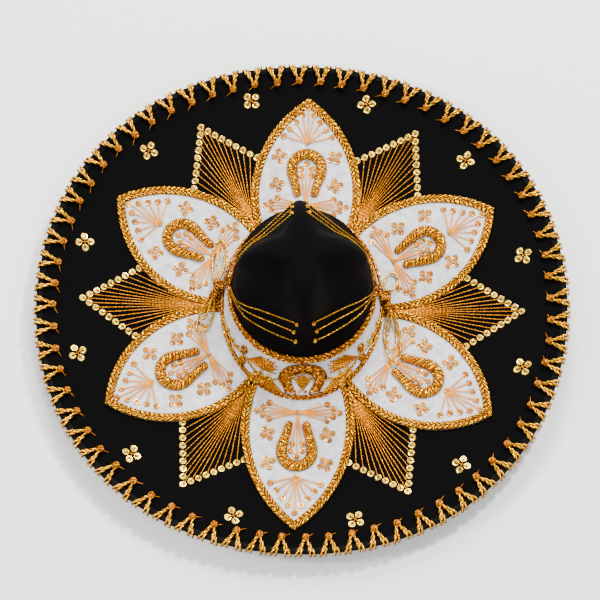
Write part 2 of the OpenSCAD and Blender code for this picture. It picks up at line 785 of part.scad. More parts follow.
/* ---- Nodes ---- */
crown_form();
crown_velvet();
crown_lining();
sweatband();
head_opening_tape();
brim_form();
brim_velvet();
brim_lining();
rim_wire();
rim_binding();
rim_lacing();
petal_front();
petal_front_right();
petal_back_right();
petal_back();
petal_back_left();
petal_front_left();
braid_front();
braid_front_right();
braid_back_right();
braid_back();
braid_back_left();
braid_front_left();
horseshoe_front();
horseshoe_front_right();
horseshoe_back_right();
horseshoe_back();
horseshoe_back_left();
horseshoe_front_left();
fan_threads_front_left();
fan_threads_front_right();
fan_threads_right();
fan_threads_back_right();
fan_threads_back_left();
fan_threads_left();
fan_sequins();
brim_flowers();
petal_flowers();
petal_sprays();
petal_sequins();
crown_band();
band_braid_top();
band_braid_bottom();
band_horseshoe();
band_threads();
band_sequins();
scroll_cord_left();
scroll_cord_right();
rosette_left();
rosette_right();
crown_cords();
crown_cord_knots();
bow_knot_left();
bow_knot_right();
bow_loops_left();
bow_loops_right();
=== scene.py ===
"""The looks of a charro sombrero: black velvet, felt petals, gold braid, sequins and cord bows.

Metres, +Z up. The hat rests on z = 0, its front faces -Y, and the frame is the CAD part's own.
Angles are in degrees. Every piece is built from the same few sizes as the CAD part.
"""

import bpy
import math
import numpy as np
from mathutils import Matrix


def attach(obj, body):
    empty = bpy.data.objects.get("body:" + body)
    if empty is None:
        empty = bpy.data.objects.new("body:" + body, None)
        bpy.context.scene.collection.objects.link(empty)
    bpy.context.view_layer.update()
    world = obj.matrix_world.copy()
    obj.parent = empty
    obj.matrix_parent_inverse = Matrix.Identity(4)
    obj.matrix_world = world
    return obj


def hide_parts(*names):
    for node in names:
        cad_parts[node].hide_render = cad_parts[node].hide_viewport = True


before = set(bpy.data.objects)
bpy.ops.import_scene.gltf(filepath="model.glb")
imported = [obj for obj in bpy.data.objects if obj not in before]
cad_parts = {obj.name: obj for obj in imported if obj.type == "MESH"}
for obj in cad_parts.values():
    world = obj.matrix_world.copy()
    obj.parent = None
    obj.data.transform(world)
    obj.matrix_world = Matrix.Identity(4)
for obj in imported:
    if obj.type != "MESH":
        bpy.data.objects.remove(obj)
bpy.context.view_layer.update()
rng = np.random.default_rng(11)

# ---------------- sizes
BRIM_R = 0.266              # mean radius of the brim
BRIM_OVAL = 0.003
BRIM_SQUARE = 0.002
FLAT_R = 0.100              # where the brim starts to curl up
BRIM_RISE = 0.020
SIDE_RISE = 0.002
BRIM_CURL = 2.2

CROWN_BACK = 0.009
CROWN_LEAN = 0.010
CROWN_TILT = 0.04
CROWN_TURN = 4.6            # the pinches are turned round from the brim's front
CROWN_X = 0.073
CROWN_Y = 0.0705
FLARE_X = 0.010
FLARE_Y = 0.045
FLARE_H = 0.020
TAPER_X = 0.102
TAPER_Y = 0.088
DENT_DEPTH = 0.46
DENT_START = 0.068
DENT_SHIFT = 0.018          # the front dents start this much lower, the back ones higher
DENT_FULL = 0.130
DENT_EASE = 0.8
RIDGE_ROUND = 0.05
TOP_DOME = 0.002            # the middle of the top stands this much higher than its edge
SHOULDER_Z = 0.097
SHOULDER_R = 0.034
SHOULDER_H = 0.046
CAP_ANGLE = 85              # turn of the shoulder where the top's dome takes over

FORM_T = 0.002
VELVET_T = 0.0008
LINING_T = 0.0007
FELT_T = 0.0012
TAPE_T = 0.001
GAP = 0.0001
FORM_Z = TAPE_T + LINING_T
VELVET_Z = FORM_Z + FORM_T
CLOTH_Z = VELVET_Z + VELVET_T        # top of the flat velvet
FELT_Z = 0.0003                      # heights above the velvet
FELT_TOP = FELT_Z + FELT_T
BRAID_Z = FELT_TOP + 0.0002
BRAID_W = 0.0085
EDGE_IN = 0.003

SWEAT_H = 0.034
SWEAT_IN = FORM_T + LINING_T + GAP
SWEAT_T = 0.0012
FELT_OUT = VELVET_T + GAP + FELT_T   # offsets from the crown form's outside
BAND_BRAID = FELT_OUT + 0.0002
BAND_TOP = 0.041
BAND_BOTTOM = CLOTH_Z + BRAID_Z + 0.002
BAND_FRONT = -87.3                   # the band sits a little round from the brim's front

PETALS = {"front": -90, "front_right": -30, "back_right": 30,
          "back": 90, "back_left": 150, "front_left": 210}
FANS = {"front_left": -120, "front_right": -60, "right": 0,
        "back_right": 60, "back_left": 120, "left": 180}
PETAL_TIP = 0.230
PETAL_HALF = 0.0565
PETAL_BELLY = 0.125
HALF_STEP = 30                       # from a petal's axis to where it meets its neighbour
SECTOR = 29.4                        # the felt and the braid stop just short of that
BRAID_SECTOR = 29.5
TIP_SHIFT = {"front": 0.007, "front_right": -0.007, "back_right": -0.007,
             "back": -0.002, "back_left": -0.007, "front_left": -0.007}
INSET = {"front": 0, "front_right": 0.009, "back_right": 0.009,
         "back": 0, "back_left": 0.009, "front_left": 0.009}
BASE_SHARE = 0.6                     # share of a petal's inset that its base spray takes
FLOWER_SHARE = 0.8                   # and the share that its flowers take
SHOE_S = 0.153                       # distance out to the middle of a horseshoe's bend
SHOE_R = 0.021
SHOE_HOLE = 0.0095
SHOE_ARM = 0.032
FLOWER_R = 0.231
SEQUIN_R = 0.0036
SMALL_R = 0.0032
SEQUIN_Z = FELT_TOP + 0.0003         # height of the sequins that lie on felt
LACINGS = 68
LACE_R = 0.0019
LACE_Z = 0.0017
LACE_IN = 0.0165                     # from the rim in to a lacing's knot


# ---------------- surfaces
def cosd(a):
    return np.cos(np.radians(a))


def sind(a):
    return np.sin(np.radians(a))


def all_round(count):
    """Angles in even steps right round."""
    return np.linspace(0, 360, count, endpoint=False)


def rim_r(a):
    return BRIM_R + BRIM_OVAL * cosd(2 * a) - BRIM_SQUARE * cosd(4 * a)


def brim_z(x, y):
    a = np.degrees(np.arctan2(y, x))
    u = np.maximum(0, (np.hypot(x, y) - FLAT_R) / (rim_r(a) - FLAT_R))
    return (BRIM_RISE + SIDE_RISE * cosd(2 * a)) * u ** BRIM_CURL


def on_brim(x, y, h):
    """Points at height h above the velvet of the brim."""
    x, y, h = np.broadcast_arrays(x, y, h)
    return np.stack([x, y, brim_z(x, y) + CLOTH_Z + h], -1)


def flare_height(x, y):
    """Height of the crown's velvet above the points x, y, where its wall flares into the brim."""
    low, high = np.zeros_like(x), np.full_like(x, 0.03)
    for _ in range(14):
        z = (low + high) / 2
        out = np.hypot(x / (wall_x(z) + VELVET_T), (y - mid_y(z)) / (wall_y(z) + VELVET_T)) > 1
        low, high = np.where(out, low, z), np.where(out, z, high)
    return low


def on_cloth(x, y, h):
    """Points at height h above the velvet, which climbs the crown's flare."""
    p = on_brim(x, y, h)
    p[..., 2] = np.maximum(p[..., 2], flare_height(p[..., 0], p[..., 1]) + 1.15 * np.asarray(h))
    return p


def plan(a, s, w):
    """Plan places s out and w across on an axis that points at angle a."""
    return s * cosd(a) - w * sind(a), s * sind(a) + w * cosd(a)


def on_axis(a, s, w, h):
    """Points s out and w across on a petal or fan whose axis points at angle a."""
    return on_brim(*plan(a, s, w), h)


def brim_up(p):
    """Unit normals of the brim at points p."""
    step = 0.001
    x, y = p[..., 0], p[..., 1]
    gx = (brim_z(x + step, y) - brim_z(x - step, y)) / (2 * step)
    gy = (brim_z(x, y + step) - brim_z(x, y - step)) / (2 * step)
    return unit(np.stack([-gx, -gy, np.ones_like(gx)], -1))


def wall_x(z):
    return CROWN_X - TAPER_X * z + FLARE_X * np.exp(-z / FLARE_H)


def wall_y(z):
    return CROWN_Y - TAPER_Y * z + FLARE_Y * np.exp(-z / FLARE_H)


def mid_y(z):
    return CROWN_BACK + CROWN_TILT * z - CROWN_LEAN * np.exp(-z / FLARE_H)


def dent(a, h, f):
    """Share of the radius left at angle a and height h, where f is the share of the top's radius."""
    b = a - CROWN_TURN
    start = DENT_START + DENT_SHIFT * sind(b)
    deep = np.clip((h - start) / (DENT_FULL - start), 0, 1) ** DENT_EASE
    flat = math.sqrt(RIDGE_ROUND)
    wave = (np.sqrt((1 - cosd(4 * b)) / 2 + RIDGE_ROUND) - flat) / (math.sqrt(1 + RIDGE_ROUND) - flat)
    return 1 - DENT_DEPTH * wave * deep * f


def crown_pt(a, z, turn, f, d):
    """Points of the crown at angle a: turn of the shoulder, share f of the top's radius, d out."""
    a, z, turn, f, d = np.broadcast_arrays(a, z, turn, f, d)
    inward = SHOULDER_R * (1 - cosd(turn))
    k = dent(a, z + SHOULDER_H * sind(turn), f)
    rx = ((wall_x(z) - inward) * f + d * cosd(turn)) * k
    ry = ((wall_y(z) - inward) * f + d * cosd(turn)) * k
    up = z + SHOULDER_H * sind(turn) + TOP_DOME * (1 - f * f) + d * sind(turn)
    return np.stack([rx * cosd(a), mid_y(z) + ry * sind(a), up], -1)


def wall_pt(a, z, d):
    return crown_pt(a, z, 0.0, 1.0, d)


def crown_at(a, h, d):
    """Points of the wall or the shoulder at height h."""
    turn = np.degrees(np.arcsin(np.clip((h - SHOULDER_Z) / SHOULDER_H, 0, 0.98)))
    return crown_pt(a, np.minimum(h, SHOULDER_Z), turn, 1.0, d)


def wall_out(a, z):
    """Unit normals that point out of the crown's wall."""
    across = crown_at(a + 0.5, z, 0) - crown_at(a - 0.5, z, 0)
    rise = crown_at(a, z + 0.0005, 0) - crown_at(a, z - 0.0005, 0)
    return unit(np.cross(across, rise))


def on_band(t, z, d):
    """Points t degrees round from the band's front, z up, and d out from the crown form."""
    return wall_pt(BAND_FRONT + t, z, d)


def petal_arc(name):
    """Each side of a petal is an arc: its centre's distance past the axis, and its radius."""
    long = PETAL_TIP + TIP_SHIFT[name] - PETAL_BELLY
    past = (long ** 2 - PETAL_HALF ** 2) / (2 * PETAL_HALF)
    return past, PETAL_HALF + past


def petal_reach(name, f):
    """Distance to a petal's outline along a ray at angle f from its axis."""
    past, radius = petal_arc(name)
    b = past * sind(np.abs(f)) - PETAL_BELLY * cosd(f)
    return -b + np.sqrt(b * b - past ** 2 - PETAL_BELLY ** 2 + radius ** 2)


def crown_reach(a, clear, z):
    """Distance from the brim's centre to the crown's outside at height z, plus clear."""
    p, q, m = wall_x(z) + clear, wall_y(z) + clear, mid_y(z)
    a2 = (cosd(a) / p) ** 2 + (sind(a) / q) ** 2
    b = -2 * m * sind(a) / q ** 2
    c = (m / q) ** 2 - 1
    return (-b + np.sqrt(b * b - 4 * a2 * c)) / (2 * a2)


# ---------------- small maths
def unit(v):
    v = np.asarray(v, float)
    return v / np.maximum(np.linalg.norm(v, axis=-1, keepdims=True), 1e-12)


def steps(count):
    """Even steps from 0 to 1."""
    return np.linspace(0, 1, count)


def ease(t):
    """Rises from 0 to 1 with a slow start and end."""
    return 0.5 - 0.5 * np.cos(np.pi * t)


def circling(x, y, turns, count):
    """Unit vectors that go round from x towards y."""
    turn = np.linspace(0, 2 * np.pi * turns, count)[:, None]
    return np.cos(turn) * x + np.sin(turn) * y


def waves(p, size, seed):
    """Smooth noise of about -1 to 1 at points p: a sum of waves of about the given size."""
    count = 7
    local = np.random.default_rng(seed)
    total = np.zeros(p.shape[:-1])
    for _ in range(count):
        way = unit(local.normal(size=3)) * local.uniform(0.7, 1.6)
        total += np.sin(p @ way * 2 * np.pi / size + local.uniform(0, 2 * np.pi))
    return total / math.sqrt(count)


GOLDEN = 0.618              # steps by this share give neighbours unlike values


def path_length(points):
    return np.concatenate([[0], np.cumsum(np.linalg.norm(np.diff(points, axis=0), axis=1))])


def resample(points, step):
    """The same line with points about step apart."""
    points = np.asarray(points, float)
    s = path_length(points)
    t = np.linspace(0, s[-1], max(2, int(round(s[-1] / step)) + 1))
    return np.stack([np.interp(t, s, points[:, k]) for k in range(3)], -1)


def smooth(points, step, rounds=3):
    """A rounded line near the given points, cut at its corners, with its ends kept."""
    points = np.asarray(points, float)
    for _ in range(rounds):
        a, b = points[:-1], points[1:]
        cut = np.stack([0.75 * a + 0.25 * b, 0.25 * a + 0.75 * b], 1).reshape(-1, 3)
        points = np.concatenate([points[:1], cut, points[-1:]])
    return resample(points, step)


def transport(path, closed=False):
    """Two unit vectors across a path at each point, turning as little as they can."""
    n = len(path)
    if closed:
        tangent = unit(np.roll(path, -1, 0) - np.roll(path, 1, 0))
    else:
        tangent = unit(np.gradient(path, axis=0))
    first = np.cross(tangent[0], (0, 0, 1))
    if np.linalg.norm(first) < 0.2:
        first = np.cross(tangent[0], (1, 0, 0))
    side = np.empty((n, 3))
    side[0] = unit(first)
    for i in range(1, n):
        v = side[i - 1] - tangent[i] * np.dot(side[i - 1], tangent[i])
        side[i] = v / math.sqrt(v @ v)
    return side, np.cross(tangent, side)


# ---------------- mesh building
def into_scene(name, data):
    obj = bpy.data.objects.new(name, data)
    bpy.context.scene.collection.objects.link(obj)
    return obj


class Shape:
    """Closed skins gathered into one piece. Each point carries painted shading: 0 darkens it like shadow
    in a groove, 1 leaves it as bright as a ridge.
    """

    def __init__(self):
        self.points = []
        self.quads = []
        self.shades = []
        self.count = 0

    def add(self, points, quads, painted_shade):
        """Adds a closed skin, turned so that its faces point outwards."""
        a, b, c, d = (points[quads[:, k]] for k in range(4))
        volume = np.einsum("ij,ij->", np.cross(a, b), c) + np.einsum("ij,ij->", np.cross(a, c), d)
        if volume < 0:
            quads = quads[:, ::-1]
        self.points.append(points)
        self.quads.append(quads + self.count)
        self.shades.append(np.broadcast_to(painted_shade, len(points)))
        self.count += len(points)

    def skin(self, rings, loop=False, painted_shade=None):
        """Skins rings of an even count of points. A loop's last ring joins its first."""
        rings = np.asarray(rings, float)
        n, m = rings.shape[:2]
        index = np.arange(n * m).reshape(n, m)
        ahead = np.roll(index, -1, 0)
        if not loop:
            index, ahead = index[:-1], ahead[:-1]
        quads = [np.stack([index, np.roll(index, -1, 1), np.roll(ahead, -1, 1), ahead], -1)
                 .reshape(-1, 4)]
        if not loop:
            j = np.arange(m // 2 - 1)
            cap = np.stack([j, m - 1 - j, m - 2 - j, j + 1], -1)
            quads += [cap, cap[:, ::-1] + (n - 1) * m]
        painted_shade = 1.0 if painted_shade is None else np.broadcast_to(painted_shade, (n, m)).ravel()
        self.add(rings.reshape(-1, 3), np.concatenate(quads), painted_shade)

    def sheet(self, top, bottom, loop=False, painted_shade=None):
        """Closes a sheet between two grids of points. Its underside gets the darkest painted shading."""
        if painted_shade is not None:
            painted_shade = np.concatenate([painted_shade, 0 * painted_shade], 1)
        self.skin(np.concatenate([top, bottom[:, ::-1]], 1), loop, painted_shade)

    def tube(self, path, radius, sides=8, closed=False, plies=0, pitch=0.004, groove=0.22):
        """A round thread or a rope of twisted plies along a path."""
        path = np.asarray(path, float)
        side, other = transport(path, closed)
        s = path_length(path)[:, None]
        turn = 2 * np.pi * np.arange(sides) / sides
        r = np.broadcast_to(np.reshape(radius, (-1, 1)), (len(path), sides))
        hollow = 0.5 + 0.5 * np.cos(plies * turn - 2 * np.pi * s / pitch) if plies else 0 * r
        r = r * (1 - groove * hollow)
        x = (r * np.cos(turn))[..., None] * side[:, None]
        y = (r * np.sin(turn))[..., None] * other[:, None]
        # Painted shading: a thread's sides and underside are darkened as if lit from above, and its ply
        # grooves as if in shadow.
        facing = (x + y)[..., 2] / np.maximum(r, 1e-6)
        deep = 1 - np.minimum(1, 4 * groove) * hollow
        self.skin(path[:, None] + x + y, closed, deep * np.clip(0.1 + 1.1 * facing, 0, 1))

    def mesh(self, name, material, faceted=False):
        """Puts the skins into the scene as one object."""
        points = np.concatenate(self.points)
        quads = np.concatenate(self.quads)
        mesh = bpy.data.meshes.new(name)
        mesh.vertices.add(len(points))
        mesh.vertices.foreach_set("co", points.ravel())
        mesh.loops.add(quads.size)
        mesh.loops.foreach_set("vertex_index", quads.ravel().astype(np.int32))
        mesh.polygons.add(len(quads))
        mesh.polygons.foreach_set("loop_start", np.arange(len(quads), dtype=np.int32) * 4)
        mesh.polygons.foreach_set("use_smooth", np.full(len(quads), not faceted))
        painted_shade = mesh.attributes.new("painted_shade", "FLOAT", "POINT")
        painted_shade.data.foreach_set("value", np.concatenate(self.shades).astype(np.float32))
        mesh.update(calc_edges=True)
        mesh.validate()
        mesh.materials.append(material)
        return into_scene(name, mesh)

    def build(self, name, material, slot, nodes=None, faceted=False):
        """Makes a piece of the hat. It replaces the CAD node of its own name unless nodes are given."""
        obj = self.mesh(name, material, faceted)
        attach(obj, "root")
        nodes = [name] if nodes is None else nodes
        if nodes:
            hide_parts(*nodes)
        return obj


# ---------------- materials
class Nodes:
    """Short ways to write a material's nodes."""

    def __init__(self, name):
        self.material = bpy.data.materials.new(name)
        self.material.use_nodes = True
        self.tree = self.material.node_tree
        self.shader = self.tree.nodes["Principled BSDF"]
        self.coords = self.tree.nodes.new("ShaderNodeTexCoord").outputs["Object"]

    def feed(self, socket, value):
        """Gives a socket a value, or another node's output."""
        if hasattr(value, "links"):
            self.tree.links.new(value, socket)
        else:
            socket.default_value = value

    def put(self, name, value):
        self.feed(self.shader.inputs[name], value)

    def add(self, kind, inputs, **settings):
        node = self.tree.nodes.new("ShaderNode" + kind)
        for name, value in settings.items():
            setattr(node, name, value)
        for name, value in inputs.items():
            self.feed(node.inputs[name], value)
        return node

    def noise(self, scale, detail=3.0, rough=0.6):
        inputs = {"Vector": self.coords, "Scale": scale, "Detail": detail, "Roughness": rough}
        return self.add("TexNoise", inputs).outputs["Fac"]

    def cells(self, scale):
        """A random shade for each small cell."""
        inputs = {"Vector": self.coords, "Scale": scale}
        return self.add("TexVoronoi", inputs).outputs["Color"]

    def vector(self, operation, *values):
        node = self.add("VectorMath", dict(enumerate(values)), operation=operation)
        return node.outputs["Vector"]

    def tilt(self, scale, amount):
        """A normal that leans a random way in each small cell, so that single cells glint."""
        lean = self.vector("MULTIPLY_ADD", self.cells(scale), (2 * amount,) * 3, (-amount,) * 3)
        normal = self.add("NewGeometry", {}).outputs["Normal"]
        return self.vector("NORMALIZE", self.vector("ADD", normal, lean))

    def painted_shade(self):
        """The mesh's painted shading: 0 darkens grooves and the sides of threads, 1 leaves a ridge
        bright.
        """
        return self.add("Attribute", {}, attribute_name="painted_shade").outputs["Fac"]

    def times(self, a, b, share=1.0):
        inputs = {"Factor": share, "A": a, "B": b}
        return self.add("Mix", inputs, data_type="RGBA", blend_type="MULTIPLY").outputs["Result"]

    def ramp(self, fac, *stops):
        """A colour for each value of fac, from stops of a place and a colour."""
        node = self.add("ValToRGB", {"Fac": fac})
        elements = node.color_ramp.elements
        while len(elements) < len(stops):
            elements.new(0.5)
        for element, (place, colour) in zip(elements, stops):
            element.position = place
            element.color = (*colour, 1)
        return node.outputs["Color"]

    def bump(self, height, strength, distance, before=None):
        inputs = {"Height": height, "Strength": strength, "Distance": distance}
        if before is not None:
            inputs["Normal"] = before
        return self.add("Bump", inputs).outputs["Normal"]


def grey(v):
    return (v, v, v)


def velvet_material():
    m = Nodes("velvet")
    nap = m.noise(26, 4, 0.6)
    pile = m.noise(2600, 2, 0.7)
    m.put("Base Color", m.ramp(pile, (0.3, (0.0004, 0.0003, 0.0004)), (0.8, (0.0014, 0.0011, 0.0013))))
    m.put("Roughness", 0.95)
    m.put("Specular IOR Level", 0.08)
    m.put("Sheen Weight", m.ramp(nap, (0.42, grey(0.001)), (0.64, grey(0.016))))
    m.put("Sheen Roughness", 0.35)
    m.put("Sheen Tint", (0.75, 0.75, 0.82, 1))
    m.put("Normal", m.bump(pile, 0.5, 0.0004))
    return m.material


def felt_material():
    m = Nodes("felt")
    fibres = m.noise(1500, 5, 0.75)
    cloudy = m.noise(110, 4, 0.65)
    m.put("Base Color", m.ramp(cloudy, (0.35, (0.52, 0.505, 0.52)), (0.62, (0.74, 0.725, 0.735))))
    m.put("Roughness", 0.95)
    m.put("Specular IOR Level", 0.15)
    m.put("Sheen Weight", 0.15)
    m.put("Normal", m.bump(fibres, 0.7, 0.0005, m.bump(cloudy, 0.5, 0.0012)))
    return m.material


def cloth_material(name, dark, painted_light, rough, scale):
    m = Nodes(name)
    weave = m.noise(scale, 2, 0.5)
    m.put("Base Color", m.ramp(weave, (0.3, dark), (0.7, painted_light)))
    m.put("Roughness", rough)
    m.put("Specular IOR Level", 0.12)
    m.put("Normal", m.bump(weave, 0.45, 0.0003, m.bump(m.noise(90, 3), 0.25, 0.001)))
    return m.material


def gold_material(name, low, mid, high, rough=0.24, cell=900, glint=0.5, painted_shadow_colour=(0.16, 0.07, 0.02)):
    """Metallic thread: each small cell has its own tone and tilt, so that it glints."""
    m = Nodes(name)
    spark = m.cells(cell)
    drift = m.noise(420, 3, 0.6)
    colour = m.ramp(drift, (0.34, low), (0.48, mid), (0.62, high))
    colour = m.times(colour, m.ramp(spark, (0.10, grey(0.45)), (0.70, grey(1.0))), 0.8)
    # Painted shadow: the base colour darkens towards the groove colour where the mesh's painted shading
    # is low.
    m.put("Base Color", m.times(colour, m.ramp(m.painted_shade(), (0.05, painted_shadow_colour), (0.60, grey(1.0)))))
    m.put("Metallic", 0.95)
    m.put("Roughness", m.ramp(drift, (0.35, grey(rough + 0.12)), (0.7, grey(rough - 0.06))))
    m.put("Normal", m.tilt(cell, glint))
    return m.material


def sequin_material(name, base, edge, rim):
    m = Nodes(name)
    colour = m.ramp(m.noise(75, 2), (0.35, edge), (0.6, base))
    # Painted shadow: the rim, the hole and the underside darken towards the rim colour.
    m.put("Base Color", m.times(colour, m.ramp(m.painted_shade(), (0.1, rim), (0.8, grey(1.0)))))
    m.put("Metallic", 0.9)
    m.put("Roughness", 0.22)
    m.put("Coat Weight", 0.4)
    m.put("Normal", m.bump(m.noise(420, 2), 0.25, 0.0004))
    return m.material


def plain_material(name, colour, rough, metal, scale, bump, distance=0.0004):
    m = Nodes(name)
    grain = m.noise(scale, 4, 0.65)
    dark = tuple(c * 0.72 for c in colour)
    m.put("Base Color", m.ramp(grain, (0.35, dark), (0.65, colour)))
    m.put("Roughness", rough)
    m.put("Metallic", metal)
    m.put("Specular IOR Level", 0.25)
    m.put("Normal", m.bump(grain, bump, distance))
    return m.material


def floor_material():
    m = Nodes("pale floor")
    m.put("Base Color", m.ramp(m.noise(900, 2), (0.3, grey(0.94)), (0.7, grey(0.96))))
    m.put("Roughness", 0.9)
    return m.material


VELVET = velvet_material()
FELT = felt_material()
LINING = cloth_material("satin lining", (0.010, 0.009, 0.010), (0.020, 0.019, 0.021), 0.42, 1800)
BINDING = cloth_material("ribbed binding", (0.0012, 0.0012, 0.0012), (0.004, 0.004, 0.004), 0.9, 900)
TAPE = cloth_material("woven tape", (0.015, 0.014, 0.015), (0.045, 0.042, 0.044), 0.85, 1200)
LEATHER = plain_material("sweatband leather", (0.060, 0.040, 0.030), 0.45, 0, 700, 0.35)
FIBRE = plain_material("pressed fibre", (0.42, 0.36, 0.27), 0.9, 0, 300, 0.6, 0.0008)
STEEL = plain_material("drawn wire", (0.55, 0.55, 0.58), 0.35, 1, 1500, 0.1)
# A gold's groove colour, the default or the last one given, is painted shadow for its grooves and thread
# sides.
BRAID_GOLD = gold_material("gold braid", (0.62, 0.19, 0.0), (1.0, 0.43, 0.0), (1.0, 0.68, 0.04))
BAND_GOLD = gold_material("bronze gold braid", (0.36, 0.09, 0.0), (0.76, 0.25, 0.0), (1.0, 0.50, 0.04))
EMBLEM_GOLD = gold_material("dark bronze gold", (0.26, 0.06, 0.0), (0.52, 0.16, 0.0), (0.9, 0.42, 0.03))
PAD_GOLD = gold_material("padded gold", (0.62, 0.15, 0.0), (1.0, 0.38, 0.0), (1.0, 0.68, 0.03), 0.2, 800)
CORD_GOLD = gold_material("gold cord", (0.60, 0.18, 0.0), (0.96, 0.40, 0.0), (1.0, 0.64, 0.02),
                          0.24, 1500, 0.2, (0.10, 0.035, 0.005))
KNOT_GOLD = gold_material("wound copper gold", (0.22, 0.05, 0.0), (0.46, 0.13, 0.0), (0.7, 0.27, 0.01),
                          0.36, 1500, 0.2)
THREAD_GOLD = gold_material("gold thread", (0.46, 0.13, 0.0), (0.72, 0.25, 0.0), (0.95, 0.40, 0.0),
                            0.34, 1800, 0.1, (0.30, 0.12, 0.02))
THREAD_COPPER = plain_material("orange thread", (1.0, 0.36, 0.0), 0.6, 0.0, 1800, 0.3)
# A sequin material's last colour is painted shadow for its rim, hole and underside.
SEQUIN_GOLD = sequin_material("gold sequin", (0.98, 0.78, 0.10), (0.90, 0.60, 0.05), (0.30, 0.14, 0.02))
SEQUIN_COPPER = sequin_material("copper sequin", (1.0, 0.46, 0.05), (0.60, 0.20, 0.005),
                                (0.06, 0.015, 0.0))


# ---------------- camera and light
def camera():
    """Looks down on the hat's front, with the hat's origin a little below the middle."""
    azimuth, elevation, distance = 1.895, 69.975, 2.727
    way = (cosd(elevation) * sind(azimuth), -cosd(elevation) * cosd(azimuth), sind(elevation))
    data = bpy.data.cameras.new("camera")
    data.sensor_width = 36
    data.lens = 161
    data.shift_x = -0.0031
    data.shift_y = 0.0166
    data.dof.use_dof = False
    obj = into_scene("camera", data)
    obj.location = [distance * w for w in way]
    obj.rotation_euler = (math.radians(90 - elevation), 0, math.radians(azimuth))
    bpy.context.scene.camera = obj


def area_light(name, place, size, power, colour):
    data = bpy.data.lights.new(name, "AREA")
    data.size = size
    data.energy = power
    data.color = colour
    obj = into_scene(name, data)
    obj.location = place
    flat = math.hypot(place[0], place[1])
    obj.rotation_euler = (math.atan2(flat, place[2]), 0, math.atan2(place[1], place[0]) + math.pi / 2)


def studio():
    world = bpy.data.worlds.new("studio")
    world.use_nodes = True
    sky = world.node_tree.nodes["Background"].inputs
    sky["Color"].default_value = (1, 1, 1, 1)
    sky["Strength"].default_value = 0.85
    bpy.context.scene.world = world
    area_light("back softbox", (-0.2, 2.0, 2.0), 1.0, 95, (1, 0.99, 0.96))
    area_light("key lamp", (1.0, 1.3, 2.3), 0.28, 90, (1, 0.99, 0.97))
    area_light("side lamp", (-1.9, -0.3, 1.9), 0.35, 40, (1, 0.98, 0.96))
    area_light("front lamp", (0.8, -1.7, 2.3), 0.25, 30, (1, 0.98, 0.96))
    floor = Shape()
    half, under, deep = 4.0, -0.0002, 0.05
    corners = [(-half, -half), (half, -half), (half, half), (-half, half)]
    floor.skin([[(x, y, z) for x, y in corners] for z in (under, under - deep)])
    floor.mesh("floor", floor_material(), faceted=True)


# ---------------- the bows' loose loops
CORD_D = 0.0024
LOOPS_LEFT = [
    [(-0.086, 0.022, 0.009), (-0.0825, 0.030, 0.0065), (-0.080, 0.040, 0.005),
     (-0.078, 0.051, 0.0046), (-0.079, 0.062, 0.0046), (-0.083, 0.070, 0.0046),
     (-0.089, 0.068, 0.0046), (-0.092, 0.059, 0.0046), (-0.093, 0.049, 0.0046),
     (-0.0925, 0.039, 0.0048), (-0.0915, 0.029, 0.0065), (-0.0895, 0.022, 0.009)],
    [(-0.085, 0.023, 0.013), (-0.082, 0.032, 0.010), (-0.080, 0.043, 0.008),
     (-0.081, 0.053, 0.008), (-0.084, 0.059, 0.008), (-0.088, 0.055, 0.008),
     (-0.088, 0.045, 0.008), (-0.0875, 0.035, 0.0095), (-0.088, 0.024, 0.013)],
    [(-0.089, 0.004, 0.009), (-0.089, -0.005, 0.0065), (-0.090, -0.015, 0.0046),
     (-0.094, -0.025, 0.0046), (-0.101, -0.031, 0.0046), (-0.107, -0.026, 0.0046),
     (-0.104, -0.016, 0.0046), (-0.098, -0.006, 0.0065), (-0.092, 0.003, 0.009)],
    [(-0.091, 0.006, 0.0125), (-0.093, -0.003, 0.0105), (-0.095, -0.012, 0.008),
     (-0.099, -0.019, 0.008), (-0.103, -0.014, 0.008), (-0.100, -0.005, 0.0095),
     (-0.0945, 0.005, 0.012)],
]
LOOPS_RIGHT = [
    [(0.084, 0.018, 0.010), (0.082, 0.027, 0.0065), (0.084, 0.035, 0.0048),
     (0.090, 0.041, 0.0046), (0.096, 0.037, 0.0046), (0.097, 0.028, 0.0048),
     (0.092, 0.020, 0.0065), (0.087, 0.017, 0.010)],
    [(0.088, -0.005, 0.010), (0.086, -0.014, 0.0065), (0.084, -0.024, 0.0048),
     (0.084, -0.034, 0.0046), (0.088, -0.043, 0.0046), (0.095, -0.042, 0.0046),
     (0.097, -0.033, 0.0046), (0.096, -0.023, 0.0048), (0.094, -0.013, 0.0065),
     (0.0915, -0.005, 0.010)],
    [(0.091, -0.007, 0.0125), (0.090, -0.017, 0.0092), (0.088, -0.027, 0.0074),
     (0.087, -0.037, 0.0076), (0.087, -0.048, 0.0068), (0.091, -0.058, 0.0046),
     (0.098, -0.059, 0.0046), (0.101, -0.050, 0.0052), (0.101, -0.040, 0.0072),
     (0.100, -0.030, 0.0074), (0.098, -0.020, 0.0092), (0.094, -0.007, 0.0125)],
]


def bow_loops(side, loops):
    """Each loop is its own free cord. The first stands for the CAD node."""
    for i, loop in enumerate(loops):
        route = np.array([on_brim(*p) for p in loop])
        path = smooth(route, 0.0004)
        shape = Shape()
        shape.tube(path, CORD_D / 2, 16, plies=5, pitch=0.007, groove=0.14)
        nodes = ["bow_loops_" + side] if i == 0 else []
        obj = shape.build(f"bow_loop_{side}_{i + 1}", CORD_GOLD, "gold_cord", nodes)


